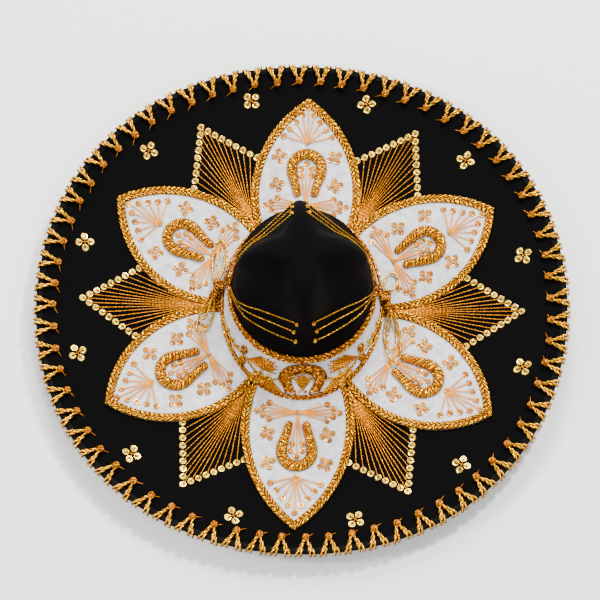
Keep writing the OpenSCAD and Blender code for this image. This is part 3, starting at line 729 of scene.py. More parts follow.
# ---------------- crown
def crown_rows(low, d, rows):
    """Rings of the crown from its middle top down to height low, d out from the form."""
    around = all_round(240)
    out = [crown_pt(around, SHOULDER_Z, CAP_ANGLE, f, d) for f in np.linspace(0.03, 0.97, 22)]
    out += [crown_pt(around, SHOULDER_Z, t, 1, d) for t in np.linspace(CAP_ANGLE, 3, 16)]
    out += [wall_pt(around, low + (SHOULDER_Z - low) * (1 - t) ** 1.2, d)
            for t in steps(rows)]
    return np.array(out)


def crown_shell(name, material, slot, low, inner, outer, ripple, size):
    """A moulded shell. ripple is the height of its uneven surface, which varies over size."""
    top = crown_rows(low, outer, 110)
    centre = np.array([0, CROWN_BACK, SHOULDER_Z / 2])
    top = top + waves(top, size, 3)[..., None] * ripple * unit(top - centre)
    bottom = crown_rows(low, inner, 40)
    shape = Shape()
    shape.skin(np.concatenate([top, bottom[::-1]]))
    return shape.build(name, material, slot)


def crown_cloth_area():
    rows = crown_rows(CLOTH_Z, VELVET_T, 60)
    a = rows[1:] - rows[:-1]
    b = np.roll(rows, -1, 1)[:-1] - rows[:-1]
    return float(np.linalg.norm(np.cross(a, b), axis=-1).sum())


def crown():
    crown_shell("crown_form", FIBRE, "stiff_form", FORM_Z, -FORM_T, 0.0, 0.00003, 0.01)
    area = crown_cloth_area()
    velvet = crown_shell("crown_velvet", VELVET, "velvet", CLOTH_Z + GAP, GAP / 2, VELVET_T,
                         0.00016, 0.022)
    lining = crown_shell("crown_lining", LINING, "lining", FORM_Z, -FORM_T - LINING_T,
                         -FORM_T - GAP / 2, 0.00003, 0.012)
    crown_inside()


def crown_inside():
    lining_seams()
    sweatband()
    opening_tape()


def lining_seams():
    """The lining's round tip seam and the seams down its sides."""
    seams = Shape()
    inside = -FORM_T - LINING_T - 0.0003
    seam_r = 0.0006
    seams.tube(crown_pt(all_round(400), SHOULDER_Z, 40.0, 1, inside), seam_r, 8, closed=True)
    for a in (0.0, 180.0):
        z = np.linspace(SWEAT_H + 0.002, SHOULDER_Z, 60)
        seams.tube(wall_pt(a, z, inside), seam_r, 8)
    seams.build("lining_seams", LINING, "lining", ())


def sweatband():
    """The leather band inside the mouth, with a row of stitches near each edge."""
    z = np.linspace(FORM_Z, SWEAT_H, 16)[:, None]
    around = all_round(360)[None]
    middle = -SWEAT_IN - SWEAT_T / 2
    half = SWEAT_T / 2 * 0.95
    bulge = 0.0004 * sind(180 * (z - FORM_Z) / (SWEAT_H - FORM_Z))
    puff = 0.00005 * waves(wall_pt(around, z, 0.0), 0.008, 5)
    front = wall_pt(around, z, middle - half + bulge * 0.4 + puff)
    back = wall_pt(around, z, middle + half)
    band = Shape()
    band.skin(np.concatenate([front, back[::-1]]), loop=True)
    band.build("sweatband", LEATHER, "sweatband_leather")
    stitches = Shape()
    edge, step, long = 0.003, 2.4, 1.5
    for height in (FORM_Z + edge, SWEAT_H - edge):
        for a in np.arange(0, 360, step):
            t = np.linspace(a, a + long, 5)
            stitches.tube(wall_pt(t, height, -SWEAT_IN - SWEAT_T - 0.0001), 0.0003, 6)
    stitches.build("sweatband_stitches", TAPE, "tape", ())


def opening_tape():
    """The flat tape that covers the joint of crown and brim. The hat rests on it."""
    outer, inner, soft = 0.007, -SWEAT_IN - SWEAT_T, 0.0003
    edge = [(0.0, soft), (soft, 0.0), (TAPE_T - soft, 0.0), (TAPE_T, soft)]
    section = [crown_oval(outer - pull, z) for z, pull in edge]
    section += [crown_oval(inner + pull, z) for z, pull in edge[::-1]]
    tape = Shape()
    tape.skin(np.array(section), loop=True)
    tape.build("head_opening_tape", TAPE, "tape")


def crown_oval(d, z):
    a = all_round(360)
    x = (wall_x(FORM_Z) + d) * cosd(a)
    y = mid_y(FORM_Z) + (wall_y(FORM_Z) + d) * sind(a)
    return np.stack([x, y, np.full_like(x, z)], -1)


# ---------------- brim
def brim_grid(rows, columns, z, clear):
    """Rings of the brim from the crown out to the rim, z above its underside."""
    a = all_round(columns)[None]
    t = steps(rows)[:, None]
    h = max(z, FORM_Z)
    px = (wall_x(h) + clear) * cosd(a)
    py = mid_y(h) + (wall_y(h) + clear) * sind(a)
    q = rim_r(a) - EDGE_IN
    x = px * (1 - t) + q * cosd(a) * t
    y = py * (1 - t) + q * sind(a) * t
    return np.stack([x, y, brim_z(x, y) + z], -1)


def brim_layer(name, material, slot, low, high, ripple, under):
    """One layer of the brim, with its ripple on the side that shows."""
    columns, seam = 540, 0.0002
    top = brim_grid(90, columns, high, seam)
    bottom = brim_grid(90 if under else 12, columns, low, seam)
    side, seed = (bottom, 9) if under else (top, 8)
    side[..., 2] += ripple * waves(side, 0.03, seed)
    shape = Shape()
    shape.skin(np.concatenate([top, bottom[::-1]]), loop=True)
    return shape.build(name, material, slot)


def brim():
    brim_layer("brim_form", FIBRE, "stiff_form", FORM_Z, VELVET_Z, 0.0, False)
    velvet = brim_layer("brim_velvet", VELVET, "velvet", VELVET_Z, CLOTH_Z, 0.00012, False)
    lining = brim_layer("brim_lining", LINING, "lining", TAPE_T, FORM_Z, 0.00005, True)
    rim_wire()
    rim_binding()
    lining_stitches()


def lining_stitches():
    """Two rows of stitches near the rim, under the brim."""
    rows = Shape()
    a = all_round(1400)
    for inset in (0.016, 0.020):
        r = rim_r(a) - inset
        p = on_axis(a, r, 0, -CLOTH_Z + TAPE_T - 0.0001)
        p[:, 2] -= 0.00015 * np.abs(sind(a * 170))
        rows.tube(p, 0.0003, 6, closed=True)
    rows.build("brim_lining_stitches", TAPE, "lining", ())


def rim_ring(s, h, a):
    """A ring s out from the rim and h up from the velvet."""
    return on_axis(a, rim_r(a) + s, 0, h)


def rim_wire():
    a = all_round(720)
    middle = -VELVET_T - FORM_T / 2
    wire_r = 0.0012
    in_brim = -0.00155
    wire = Shape()
    wire.skin([rim_ring(in_brim + wire_r * cosd(k), middle + wire_r * sind(k), a)
               for k in range(0, 360, 36)], loop=True)
    wire.build("rim_wire", STEEL, "wire")


def rim_binding():
    """A ribbed tape folded over the rim."""
    ribs = 840
    a = all_round(ribs * 4)
    rib = 0.00012 * (0.5 + 0.5 * sind(a * ribs))
    low = -VELVET_T - FORM_T - LINING_T
    thick = 0.0006
    wide = 0.006
    fold = 0.002                      # the ribs stand out from a line this far in from the rim
    outside = [(-wide, GAP + thick), (-wide / 2, GAP + thick), (-0.0012, GAP + thick),
               (0.0001, GAP - 0.0001), (thick, low / 2), (0.0001, low - GAP + 0.0001),
               (-0.0012, low - GAP - thick), (-wide, low - GAP - thick)]
    inside = [(-wide, low - GAP), (-0.0013, low - GAP), (-0.0002, low / 2), (-0.0013, GAP),
              (-wide, GAP), (-wide, GAP + thick / 2)]
    rings = []
    for s, h in outside:
        out, up = unit((s + fold, h - low / 2))
        rings.append(rim_ring(s + out * rib, h + up * rib, a))
    rings += [rim_ring(s, h, a) for s, h in inside]
    binding = Shape()
    binding.skin(rings, loop=True)
    binding.build("rim_binding", BINDING, "binding")


def lacing():
    """Each lacing: two doubled legs from the rim, a wound knot where they meet, and a tail."""
    legs, knots = Shape(), Shape()
    for k in range(LACINGS):
        a = 360 * (k + 0.5) / LACINGS
        knot = rim_r(a) - LACE_IN + rng.uniform(-0.0008, 0.0008)
        lean = rng.uniform(-0.0006, 0.0006)
        for side in (-1, 1):
            for strand in (-1, 1):
                lacing_leg(legs, a, knot, lean, side, strand)
        lacing_knot(knots, a, knot, lean)
        lacing_tail(knots, a, knot, lean)
    legs.build("rim_lacing", CORD_GOLD, "gold_braid")
    knots.build("rim_lacing_knots", KNOT_GOLD, "gold_braid", ())


def lacing_leg(shape, a, knot, lean, side, strand):
    """One of a leg's two strands, from under the rim to the knot."""
    past_rim, past_knot, wrap = 0.0022, 0.0014, 0.14
    t = steps(40)
    foot = side * 0.0071 + strand * 0.0023
    head = side * 0.0010 - strand * 0.0008
    s = rim_r(a) + past_rim + (knot - past_knot - rim_r(a)) * t
    w = foot + (head - foot + lean) * t
    sink = 0.0045 * (np.maximum(0, wrap - t) / wrap) ** 2
    arch = (0.0006 + 0.0005 * strand) * np.sin(np.pi * t)
    shape.tube(on_axis(a, s, w, LACE_Z + arch + 0.0009 * t - sink), LACE_R, 12,
               plies=3, pitch=0.0064, groove=0.36)


def lacing_knot(shape, a, knot, lean):
    turns = np.linspace(0, 2 * np.pi * 2.4, 44)
    share = turns / turns[-1]
    shrink = 1 - 0.85 * share
    s = knot + 0.0034 * shrink * np.cos(turns)
    w = lean + 0.0032 * shrink * np.sin(turns)
    up = LACE_Z + 0.0022 + 0.0016 * share
    shape.tube(on_axis(a, s, w, up), 0.0013, 8, plies=2, pitch=0.0034)


def lacing_tail(shape, a, knot, lean):
    t = steps(14)
    long = rng.uniform(0.0075, 0.0100)
    bend = rng.uniform(-0.25, 0.5)
    s = knot - long * (0.45 * t + bend * 0.35 * t * t)
    w = lean + long * t * 0.95
    path = on_axis(a, s, w, LACE_Z + 0.0012 - 0.0016 * t)
    shape.tube(path, 0.0007 * (1 - 0.8 * t) + 0.0001, 8)


# ---------------- petals
def petal(name, a):
    """A felt petal, as rays from the crown out to its outline, with fuzz that thins at its edge."""
    count = 110
    rays = np.linspace(-SECTOR, SECTOR, count)[:, None]
    t = steps(70)[None]
    r0 = crown_reach(a + rays, VELVET_T + 0.0004, BAND_BOTTOM + 0.0012)
    r1 = petal_reach(name, rays)
    r = r0 + (r1 - r0) * t ** 1.3
    x, y = r * cosd(a + rays), r * sind(a + rays)
    top = on_cloth(x, y, FELT_TOP)
    margin = 0.002
    edge = np.minimum(1, np.minimum(r1 - r, margin) / margin + 0.25)
    top[..., 2] += 0.00016 * waves(top, 0.006, 21) * edge + 0.00012 * waves(top, 0.017, 22)
    bottom = on_cloth(x, y, FELT_Z)
    shape = Shape()
    shape.sheet(top, bottom)
    obj = shape.build("petal_" + name, FELT, "felt")


def plait(shape, inner, outer, up, pitch, high, across=22, closed=False):
    """Two rows of slanted lobes between two edge lines, raised along the unit vectors up."""
    line = (inner + outer) / 2
    s = path_length(line)[:, None]
    if closed:
        whole = s[-1] + np.linalg.norm(line[0] - line[-1])
        pitch = float(whole[0] / round(whole[0] / pitch))
    v = steps(across)[None]
    second_row = v >= 0.5
    half = np.abs(2 * v - 1)
    phase = s / pitch + 0.95 * half + np.where(second_row, 0.5, 0.0)
    lobe = np.abs(np.sin(np.pi * phase)) ** 0.8
    row = np.sin(np.pi * np.clip(np.where(second_row, 2 * v - 1, 2 * v), 0, 1)) ** 0.5
    strands = 0.06 * np.sin(2 * np.pi * (s * 2.2 / pitch - half * 3.0 + 9 * phase))
    height = high * (0.22 + 0.72 * lobe * row + strands * row)
    height[:, [0, -1]] = high * 0.1
    tone = 0.7 + 0.3 * (GOLDEN * np.floor(phase) % 1)
    # Painted shading: dark in the grooves between lobes and between the two rows, times each lobe's own
    # random tone.
    painted_shade = np.clip(lobe * 1.5 - 0.45, 0, 1) * np.clip(row * 1.5 - 0.3, 0, 1) * tone
    spread = 1 + 0.05 * (lobe - 0.6)
    base = inner[:, None] + (outer - inner)[:, None] * (0.5 + (v - 0.5) * spread)[..., None]
    top = base + height[..., None] * up[:, None]
    shape.sheet(top, base - 0.0001 * up[:, None], closed, painted_shade)


def arc_start(past, r, d):
    """Angle on an arc of radius r at distance d from the brim's centre."""
    m = math.hypot(past, PETAL_BELLY)
    share = (d * d - m * m - r * r) / (2 * r * m)
    return math.degrees(math.atan2(past, PETAL_BELLY) + math.asin(share))


def braid_edge(name, side, step_in, count):
    """One edge of a petal's braid from the crown to the tip, as s out and w across."""
    past, radius = petal_arc(name)
    r = radius - step_in
    meet = crown_reach(PETALS[name] + HALF_STEP * side, VELVET_T + 0.0012, BAND_BOTTOM)
    a0 = arc_start(past, r, float(meet))
    a1 = math.degrees(math.acos(past / r))
    t = np.linspace(a0, a1, count)
    s = PETAL_BELLY + r * sind(t)
    w = np.minimum(r * cosd(t) - past, s * math.tan(math.radians(BRAID_SECTOR)))
    return s, side * np.maximum(w, 0)


def petal_braid(name, a):
    """Plaited braid along a petal's two sides, which meet at its tip."""
    count, past_edge = 380, 0.0002
    edges = []
    for step_in in (BRAID_W, -past_edge):
        s0, w0 = braid_edge(name, -1, step_in, count)
        s1, w1 = braid_edge(name, 1, step_in, count)
        s = np.concatenate([s0, s1[-2::-1]])
        w = np.concatenate([w0, w1[-2::-1]])
        edges.append(on_cloth(*plan(a, s, w), BRAID_Z))
    inner, outer = edges
    shape = Shape()
    plait(shape, inner, outer, brim_up((inner + outer) / 2), 0.0050, 0.0026)
    shape.build("braid_" + name, BRAID_GOLD, "gold_braid")


def shoe_lines(count):
    """Outer and inner edge of a horseshoe, with its bend towards +x, and its round ends."""
    bend = np.linspace(-90, 90, count)
    arm = np.linspace(-SHOE_ARM, 0, count // 2)[:-1]
    flare = ease(1 + arm / SHOE_ARM)

    def edge(r, foot):
        w = foot + (r - foot) * flare
        return np.concatenate([np.stack([arm, -w], -1),
                               r * np.stack([cosd(bend), sind(bend)], -1),
                               np.stack([arm, w], -1)[::-1]])

    return edge(SHOE_R, 0.013), edge(SHOE_HOLE, 0.0045)


def horseshoe(name, a):
    """Padded gold thread work: a dome along the horseshoe, ridged across by its windings."""
    outer, inner = shoe_lines(170)
    middle, half = (outer + inner) / 2, (outer - inner) / 2
    s = path_length(middle)
    t = np.linspace(0, s[-1], 900)
    middle, half = (np.stack([np.interp(t, s, line[:, k]) for k in range(2)], -1)
                    for line in (middle, half))
    end = np.minimum(t, t[-1] - t)
    reach, winding_step, pad, ridge_h = 0.0042, 0.0025, 0.0046, 0.0014
    close = np.sqrt(np.clip(1 - (1 - np.minimum(end, reach) / reach) ** 2, 0.02, 1))
    v = np.linspace(-1, 1, 26)[None]
    turn = t[:, None] / winding_step + 0.7 * v + 0.25 * np.sin(900 * t[:, None])
    ridge = np.abs(np.sin(np.pi * turn)) ** 0.7
    tone = 0.7 + 0.3 * (GOLDEN * np.floor(turn) % 1)
    knobs = 0.25 * waves(np.stack(np.broadcast_arrays(t[:, None], 0.004 * v, 0 * v), -1), 0.0016, 5)
    dome = np.sqrt(np.clip(1 - v ** 2 * 0.97, 0, 1)) * close[:, None]
    height = pad * dome + (ridge_h * ridge + 0.0003 * knobs) * dome ** 0.5
    # Painted shading: dark between the windings and down the pad's sloping sides, times each winding's
    # own random tone.
    painted_shade = np.clip(ridge * 1.3 - 0.25 + 0.25 * knobs, 0, 1) * np.clip(dome * 1.6, 0.3, 1) * tone
    flat = middle[:, None] + half[:, None] * (v * close[:, None])[..., None]
    x, y = SHOE_S - INSET[name] + flat[..., 0], flat[..., 1]
    up = brim_up(on_axis(a, x, y, 0))
    top = on_axis(a, x, y, BRAID_Z) + up * height[..., None]
    bottom = on_axis(a, x, y, FELT_TOP + 0.0001)
    shape = Shape()
    shape.sheet(top, bottom, painted_shade=painted_shade)
    obj = shape.build("horseshoe_" + name, PAD_GOLD, "gold_padding")


# ---------------- sequins and threads
def chevron(s0, w0, s1, n):
    """Marks from the two ends to the tip, n a side, each a distance out and across."""
    return [(s1 + (s0 - s1) * abs(k) / n, w0 * k / n) for k in range(-n, n + 1)]


FAN_MARKS = chevron(0.167, 0.0365, 0.222, 8)
TIP_MARKS = chevron(0.187, 0.025, 0.218, 4)
EYE_MARKS = [(0.145, -0.0052), (0.152, -0.0056), (0.158, 0), (0.152, 0.0056), (0.145, 0.0052)]
BASE_MARKS = [(0.111 + w, s * side) for s, w in chevron(0.029, 0.0085, 0.0415, 2) for side in (1, -1)]
TIP_ROOT = 0.180
BASE_ROOT = 0.112
PETAL_FLOWERS = [(0.1345, 0.030), (0.1655, 0.0285)]
# A sequin's section: share of its radius, height and painted shading, which is dark at the rim, the hole
# and the underside
SEQUIN_SECTION = [(0.20, 0.00002, 0), (0.40, 0.00006, 0.6), (0.62, 0.00050, 1), (0.74, 0.00062, 1),
                  (0.86, 0.00060, 0.40), (1.0, 0.00042, 0), (0.90, 0.00030, 0), (0.62, 0.00020, 0),
                  (0.40, -0.00014, 0), (0.20, -0.00014, 0)]


def fan_root(a):
    return 0.114 - 0.009 * cosd(a) ** 2


def frame_at(up, turn):
    """Two unit vectors across the normal up, turned by an angle."""
    x = unit(np.cross((0.3, 0.9, 0.1), up))
    y = np.cross(up, x)
    return x * cosd(turn) + y * sind(turn), y * cosd(turn) - x * sind(turn)


def sequin(shape, a, s, w, h, r):
    """A dished sequin with facets in its cup and a small hole, tilted a little. Returns its middle."""
    centre = on_axis(a, s, w, h)
    up = unit(brim_up(centre) + rng.normal(0, 0.07, 3))
    x, y = frame_at(up, rng.uniform(0, 60))
    turn = np.arange(24) * 15
    facet = 1 + 0.03 * cosd(turn * 6)
    outline = cosd(turn)[:, None] * x + sind(turn)[:, None] * y
    rings = []
    for share, z, _ in SEQUIN_SECTION:
        k = facet[:, None] if 0.3 < share < 0.8 else 1
        rings.append(centre + r * share * k * outline + up * z)
    # Painted shading from the section darkens the rim, the hole and the underside.
    shape.skin(rings, True, [[painted_light] for _, _, painted_light in SEQUIN_SECTION])
    return centre


def stitch(shape, start, end, radius):
    """A short taut thread from start to end that rises a little between them."""
    start, end = np.asarray(start, float), np.asarray(end, float)
    n = max(6, int(np.linalg.norm(end - start) / 0.0011))
    t = steps(n)[:, None]
    path = start + (end - start) * t
    path[:, 2] += 0.0004 * np.sin(np.pi * t[:, 0])
    shape.tube(path, radius, 8, plies=2, pitch=0.0028, groove=0.3)


def brim_thread(shape, a, root, mark, low, high, radius):
    """A long thread along the brim: its middle hangs between the straight line and the cloth."""
    n = int(math.hypot(mark[0] - root, mark[1]) / 0.0012)
    t = steps(n)
    s = root + (mark[0] - root) * t
    w = mark[1] * t
    laid = on_axis(a, s, w, low + (high - low) * t)
    straight = laid[0] + (laid[-1] - laid[0]) * t[:, None]
    shape.tube(0.5 * laid + 0.5 * straight, radius, 8, plies=2, pitch=0.0034, groove=0.34)


def fans():
    """Threads from the crown to sequins in a chevron, bound together over their root."""
    sequins = Shape()
    for name, a in FANS.items():
        threads = Shape()
        root = fan_root(a)
        for i, mark in enumerate(FAN_MARKS):
            lift = 0.0010 + 0.0003 * (i % 3)
            brim_thread(threads, a, root - 0.0015, mark, lift, 0.0011, 0.00062)
            sequin(sequins, a, *mark, 0.0004, SEQUIN_R)
        across = on_axis(a, root, 0.0016, 0.0016) - on_axis(a, root, -0.0016, 0.0016)
        inner = float(crown_reach(a, VELVET_T + 0.004, BAND_BOTTOM))
        for k in (-1, 0, 1):
            binding = on_axis(a, root - 0.001 + 0.001 * k, 0, 0.0016)
            stitch(threads, binding - across / 2, binding + across / 2, 0.0005)
        for k in (-1, 0, 1):
            brim_thread(threads, a, inner, (root + 0.003, 0.0011 * k), 0.0016, 0.0016, 0.0008)
        threads.build("fan_threads_" + name, THREAD_GOLD, "gold_thread")
    sequins.build("fan_sequins", SEQUIN_GOLD, "gold_sequin", faceted=True)


def flower(sequins, threads, a, s, w, h, spread, r, turn):
    """Four sequins about a point, and a thread from their middle to each one's hole."""
    middle = on_axis(a, s, w, h + 0.0012)
    for k in range(4):
        t = 90 * k + turn
        centre = sequin(sequins, a, s + spread * cosd(t), w + spread * sind(t), h, r)
        stitch(threads, middle, centre + (0, 0, 0.0006), 0.0007)


def flowers():
    sequins, threads = Shape(), Shape()
    for k in range(360 // HALF_STEP):
        a, turn = (k + 0.5) * HALF_STEP, rng.uniform(-14, 14) + 30
        flower(sequins, threads, a, FLOWER_R, 0, 0.0004, 0.006, 0.0037, turn)
    sequins.build("brim_flowers", SEQUIN_GOLD, "gold_sequin", faceted=True)
    threads.build("brim_flower_stitches", THREAD_GOLD, "gold_thread", ())

    sequins, threads = Shape(), Shape()
    for name, a in PETALS.items():
        for side in (-1, 1):
            for s, w in moved_in(PETAL_FLOWERS, FLOWER_SHARE * INSET[name]):
                turn = rng.uniform(-12, 12) + 20
                flower(sequins, threads, a, s, w * side, SEQUIN_Z, 0.0052, SMALL_R, turn)
    sequins.build("petal_flowers", SEQUIN_COPPER, "copper_sequin", faceted=True)
    threads.build("petal_flower_stitches", THREAD_COPPER, "copper_thread", ())


def moved_in(marks, by):
    return [(s - by, w) for s, w in marks]


def sprays():
    """On each petal, threads from two roots to sequins: one spray in its tip, one at its base."""
    sequins, threads = Shape(), Shape()
    for name, a in PETALS.items():
        inset, less = INSET[name], BASE_SHARE * INSET[name]
        base = moved_in(BASE_MARKS, less) + moved_in(EYE_MARKS, inset)
        for root, marks in ((TIP_ROOT - inset, moved_in(TIP_MARKS, inset)), (BASE_ROOT - less, base)):
            spray(sequins, threads, a, root, marks)
    sequins.build("petal_sequins", SEQUIN_COPPER, "copper_sequin", faceted=True)
    threads.build("petal_sprays", THREAD_COPPER, "copper_thread")


def spray(sequins, threads, a, root, marks):
    for mark in marks:
        brim_thread(threads, a, root, mark, SEQUIN_Z + 0.0014, SEQUIN_Z + 0.0009, 0.00074)
        sequin(sequins, a, *mark, SEQUIN_Z, SMALL_R)
    sequin(sequins, a, root, 0, SEQUIN_Z + 0.0016, 0.0026)
    for k in range(3):
        ds, dw = 0.0022 * cosd(60 * k + 10), 0.0022 * sind(60 * k + 10)
        start, end = (on_axis(a, root + way * ds, way * dw, SEQUIN_Z + 0.0022) for way in (-1, 1))
        stitch(threads, start, end, 0.0004)


# ---------------- crown band
def up_wall(a, z, w):
    """Height reached by going w up the slope of the wall from height z."""
    rise = wall_pt(a, z + 0.001, 0.0) - wall_pt(a, z, 0.0)
    return z + 0.001 * w / np.linalg.norm(rise, axis=-1)


def band():
    """The felt band round the crown, with a plaited braid along each edge."""
    a = all_round(480)[None]
    z = np.linspace(BAND_BOTTOM, BAND_TOP - 0.0012, 40)[:, None]
    outer = wall_pt(a, z, FELT_OUT)
    outer = outer + (0.00010 * waves(outer, 0.007, 31))[..., None] * wall_out(a, z)
    inner = wall_pt(a, z, VELVET_T + GAP)
    felt = Shape()
    felt.skin(np.concatenate([outer, inner[::-1]]), loop=True)
    felt = felt.build("crown_band", FELT, "felt")

    a = all_round(1300)
    for name, low, high, fold in (
        ("band_braid_top", BAND_TOP - 0.0065 + 0 * a, BAND_TOP + 0.0004 + 0 * a, VELVET_T + 0.0003),
        ("band_braid_bottom", BAND_BOTTOM + 0 * a, up_wall(a, BAND_BOTTOM + 0 * a, 0.0055), BAND_BRAID),
    ):
        shape = Shape()
        plait(shape, wall_pt(a, low, BAND_BRAID), wall_pt(a, high, fold),
              wall_out(a, (low + high) / 2), 0.0056, 0.0028, 18, closed=True)
        shape.build(name, BAND_GOLD, "gold_braid")


def emblem_rows(count):
    """Outer and inner edge of the band's horseshoe, as degrees round and height."""
    t = np.linspace(-90, 90, count)
    outer = np.stack([17.4 * sind(t), 0.020 + 0.0135 * cosd(t)], -1)
    inner = np.stack([9 * sind(t), 0.019 + 0.0075 * cosd(t)], -1)
    u = steps(count // 4)[:-1, None]

    def leg(edge, foot):
        start = np.array([foot, 0.0118])
        return start + (edge - start) * np.concatenate([ease(u), u], 1)

    outer = np.concatenate([leg(outer[0], -12), outer, leg(outer[-1], 12)[::-1]])
    inner = np.concatenate([leg(inner[0], -5), inner, leg(inner[-1], 5)[::-1]])
    return outer, inner


def emblem():
    """The horseshoe on the band's front: a latticed dome between two cords."""
    outer, inner = emblem_rows(200)
    v = steps(26)[None, :, None]
    flat = outer[:, None] * (1 - v) + inner[:, None] * v
    a, z = BAND_FRONT + flat[..., 0], flat[..., 1]
    v = v[..., 0]
    span = np.arange(len(outer))[:, None]
    lattice = np.abs(np.sin(span * 0.15 + v * 6)) * 0.5 + np.abs(np.sin(span * 0.15 - v * 6)) * 0.5
    dome = np.sin(np.pi * np.clip(v, 0.03, 0.97)) ** 0.5
    height = 0.0008 + 0.0012 * dome + 0.0010 * lattice * dome
    # Painted shading: dark in the lattice's hollows and towards the dome's edges.
    painted_shade = np.clip(1.5 * lattice - 0.25, 0, 1) * np.clip(dome, 0.3, 1)
    top = wall_pt(a, z, BAND_BRAID) + height[..., None] * wall_out(a, z)
    bottom = wall_pt(a, z, FELT_OUT)
    shape = Shape()
    shape.sheet(top, bottom, painted_shade=painted_shade)
    for edge in (outer, inner):
        p = on_band(edge[:, 0], edge[:, 1], BAND_BRAID + 0.0018)
        shape.tube(resample(p, 0.0005), 0.0011, 12, plies=3, pitch=0.0046, groove=0.4)
    shape.build("band_horseshoe", EMBLEM_GOLD, "gold_padding")


# Places on the band are degrees round and height. Each fan has a root and the ends of its threads.
BAND_FANS = [
    ((44.5, 0.019), [(33, 0.030), (27, 0.0315), (21.5, 0.031), (19.5, 0.028), (19.5, 0.025),
                     (20.5, 0.0215)]),
    ((13.5, 0.0105), [(24, 0.016), (28, 0.016), (32, 0.0155), (36, 0.0145), (39, 0.013),
                      (41, 0.0115)]),
    ((0, 0.0135), [(0.5, 0.0225), (3, 0.022), (6, 0.0205)]),
]
SCROLL = [(18.5, 0.019), (21, 0.0175), (25, 0.016), (32, 0.0155), (38, 0.016), (43, 0.0175),
          (49, 0.019), (55, 0.0175), (61, 0.0155), (68, 0.015), (75, 0.014), (82, 0.013)]


# A leaf on the scroll's upper side leans one way, and one on its lower side the other
LEAVES = [(27, 0.0165, 1), (33, 0.0165, 1), (30, 0.0135, -1), (36, 0.0145, -1), (57, 0.0175, 1),
          (63, 0.0165, 1), (60, 0.0125, -1), (66, 0.0125, -1), (71, 0.0155, 1), (74, 0.0115, -1)]


def band_line(start, end, d, step, arch):
    """A line over the band between two places, which rises a little between them."""
    t = steps(60)
    line = on_band(start[0] + (end[0] - start[0]) * t, start[1] + (end[1] - start[1]) * t,
                   d + arch * np.sin(np.pi * t))
    return resample(line, step)


def band_work():
    """Fans of satin stitches on both sides of the emblem, three threads for each stated end."""
    threads, beads = Shape(), Shape()
    for side in (-1, 1):
        for i, (root, ends) in enumerate(BAND_FANS):
            count = 3 * len(ends) - 2
            share = np.linspace(0, len(ends) - 1, count)
            for k, place in enumerate(share):
                end = [np.interp(place, range(len(ends)), [e[n] for e in ends]) for n in (0, 1)]
                short = 1 if k % 3 == 0 else 0.86 + 0.06 * (k % 2)
                end = [root[n] + (end[n] - root[n]) * short for n in (0, 1)]
                line = band_line((side * root[0], root[1]), (side * end[0], end[1]),
                                 FELT_OUT + 0.0006 + 0.0003 * (k % 2), 0.0008, 0.0004)
                threads.tube(line, np.linspace(0.0005, 0.00085, len(line)), 8, plies=2, pitch=0.003)
                if i == 2 and k % 3 == 0:
                    bead(beads, side * end[0], end[1], 0.0012)
        bead(beads, side * 2.0, 0.0125, 0.0011)
    threads.build("band_threads", THREAD_GOLD, "gold_thread")
    beads.build("band_sequins", PAD_GOLD, "gold_sequin")


def bead(shape, t, z, r):
    """A wound knot of gold thread on the band."""
    a = BAND_FRONT + t
    out = wall_out(a, z)
    centre = wall_pt(a, z, FELT_OUT) + out * 0.0012
    x, y = frame_at(out, rng.uniform(0, 180))
    count = 40
    wide = r * (0.35 + 0.65 * np.sin(np.pi * np.linspace(0.08, 0.92, count)))[:, None]
    climb = np.linspace(-0.4, 1, count)[:, None] * r
    shape.tube(centre + wide * circling(x, y, 2.5, count) + out * climb, 0.00055, 6)


def leaf(shape, t, z, lean):
    """A small pointed leaf of satin stitches beside the scroll cord."""
    count = 5
    for k in range(count):
        share = (k + 0.5) / count
        tall = 0.002992 * math.sin(math.pi * share)
        t0 = t + (share - 0.5) * 3.4
        line = band_line((t0, z), (t0 + lean * 1.6, z + tall * lean), FELT_OUT + 0.0012, 0.0006, 0.0006)
        shape.tube(line, 0.0006, 6)


def coil(shape, a, z, r):
    """A flat coil of cord on the band, with a small ring in its middle."""
    out = wall_out(a, z)
    x, y = frame_at(out, 40)
    count = 110
    share = steps(count)[:, None]
    path = r * (1 - 0.78 * share) * circling(x, 1.15 * y, 2.6, count) + out * 0.0010 * share
    path = wall_pt(a, z, FELT_OUT + 0.0011) + path
    shape.tube(resample(path, 0.0005), 0.0011, 10, plies=3, pitch=0.004, groove=0.28)
    ring = 0.0006 * circling(*frame_at(out, 0), 1.5, 20)
    shape.tube(wall_pt(a, z, FELT_OUT + 0.0022) + ring, 0.0007, 6)


def scrolls():
    """On each side of the band, a waved cord with leaves, and a rosette of two coils."""
    for name, side in (("left", -1), ("right", 1)):
        cord = Shape()
        points = np.array([on_band(side * t, z, BAND_BRAID + 0.0015) for t, z in SCROLL])
        cord.tube(smooth(points, 0.0005), 0.0011, 12, plies=3, pitch=0.0045, groove=0.3)
        for t, z, lean in LEAVES:
            leaf(cord, side * t, z, lean)
        cord.build("scroll_cord_" + name, CORD_GOLD, "gold_cord")
        rosette = Shape()
        for z in (0.014, 0.023):
            coil(rosette, BAND_FRONT + side * 49, z, 0.0038)
        rosette.build("rosette_" + name, BAND_GOLD, "gold_cord")


# ---------------- crown cords and bows
# Each cord runs up from the side, turns at one place and ends in a knot at another
FRONT_TURNS = [(19.5, 0.063), (22, 0.0605), (26, 0.058)]
FRONT_ENDS = [(9.7, 0.0935), (12.3, 0.077), (10.4, 0.063)]
BACK_TURNS = [(14, 0.086), (18, 0.080), (22, 0.075)]
BACK_ENDS = [(15, 0.138), (11.5, 0.133), (9.5, 0.124)]
CORD_OUT = VELVET_T + 0.0010
CORD_FOOT = 0.043                    # height at which the cords come down to the band


def cord_angle(side, way, t):
    return (0 if side > 0 else 180) + side * way * t


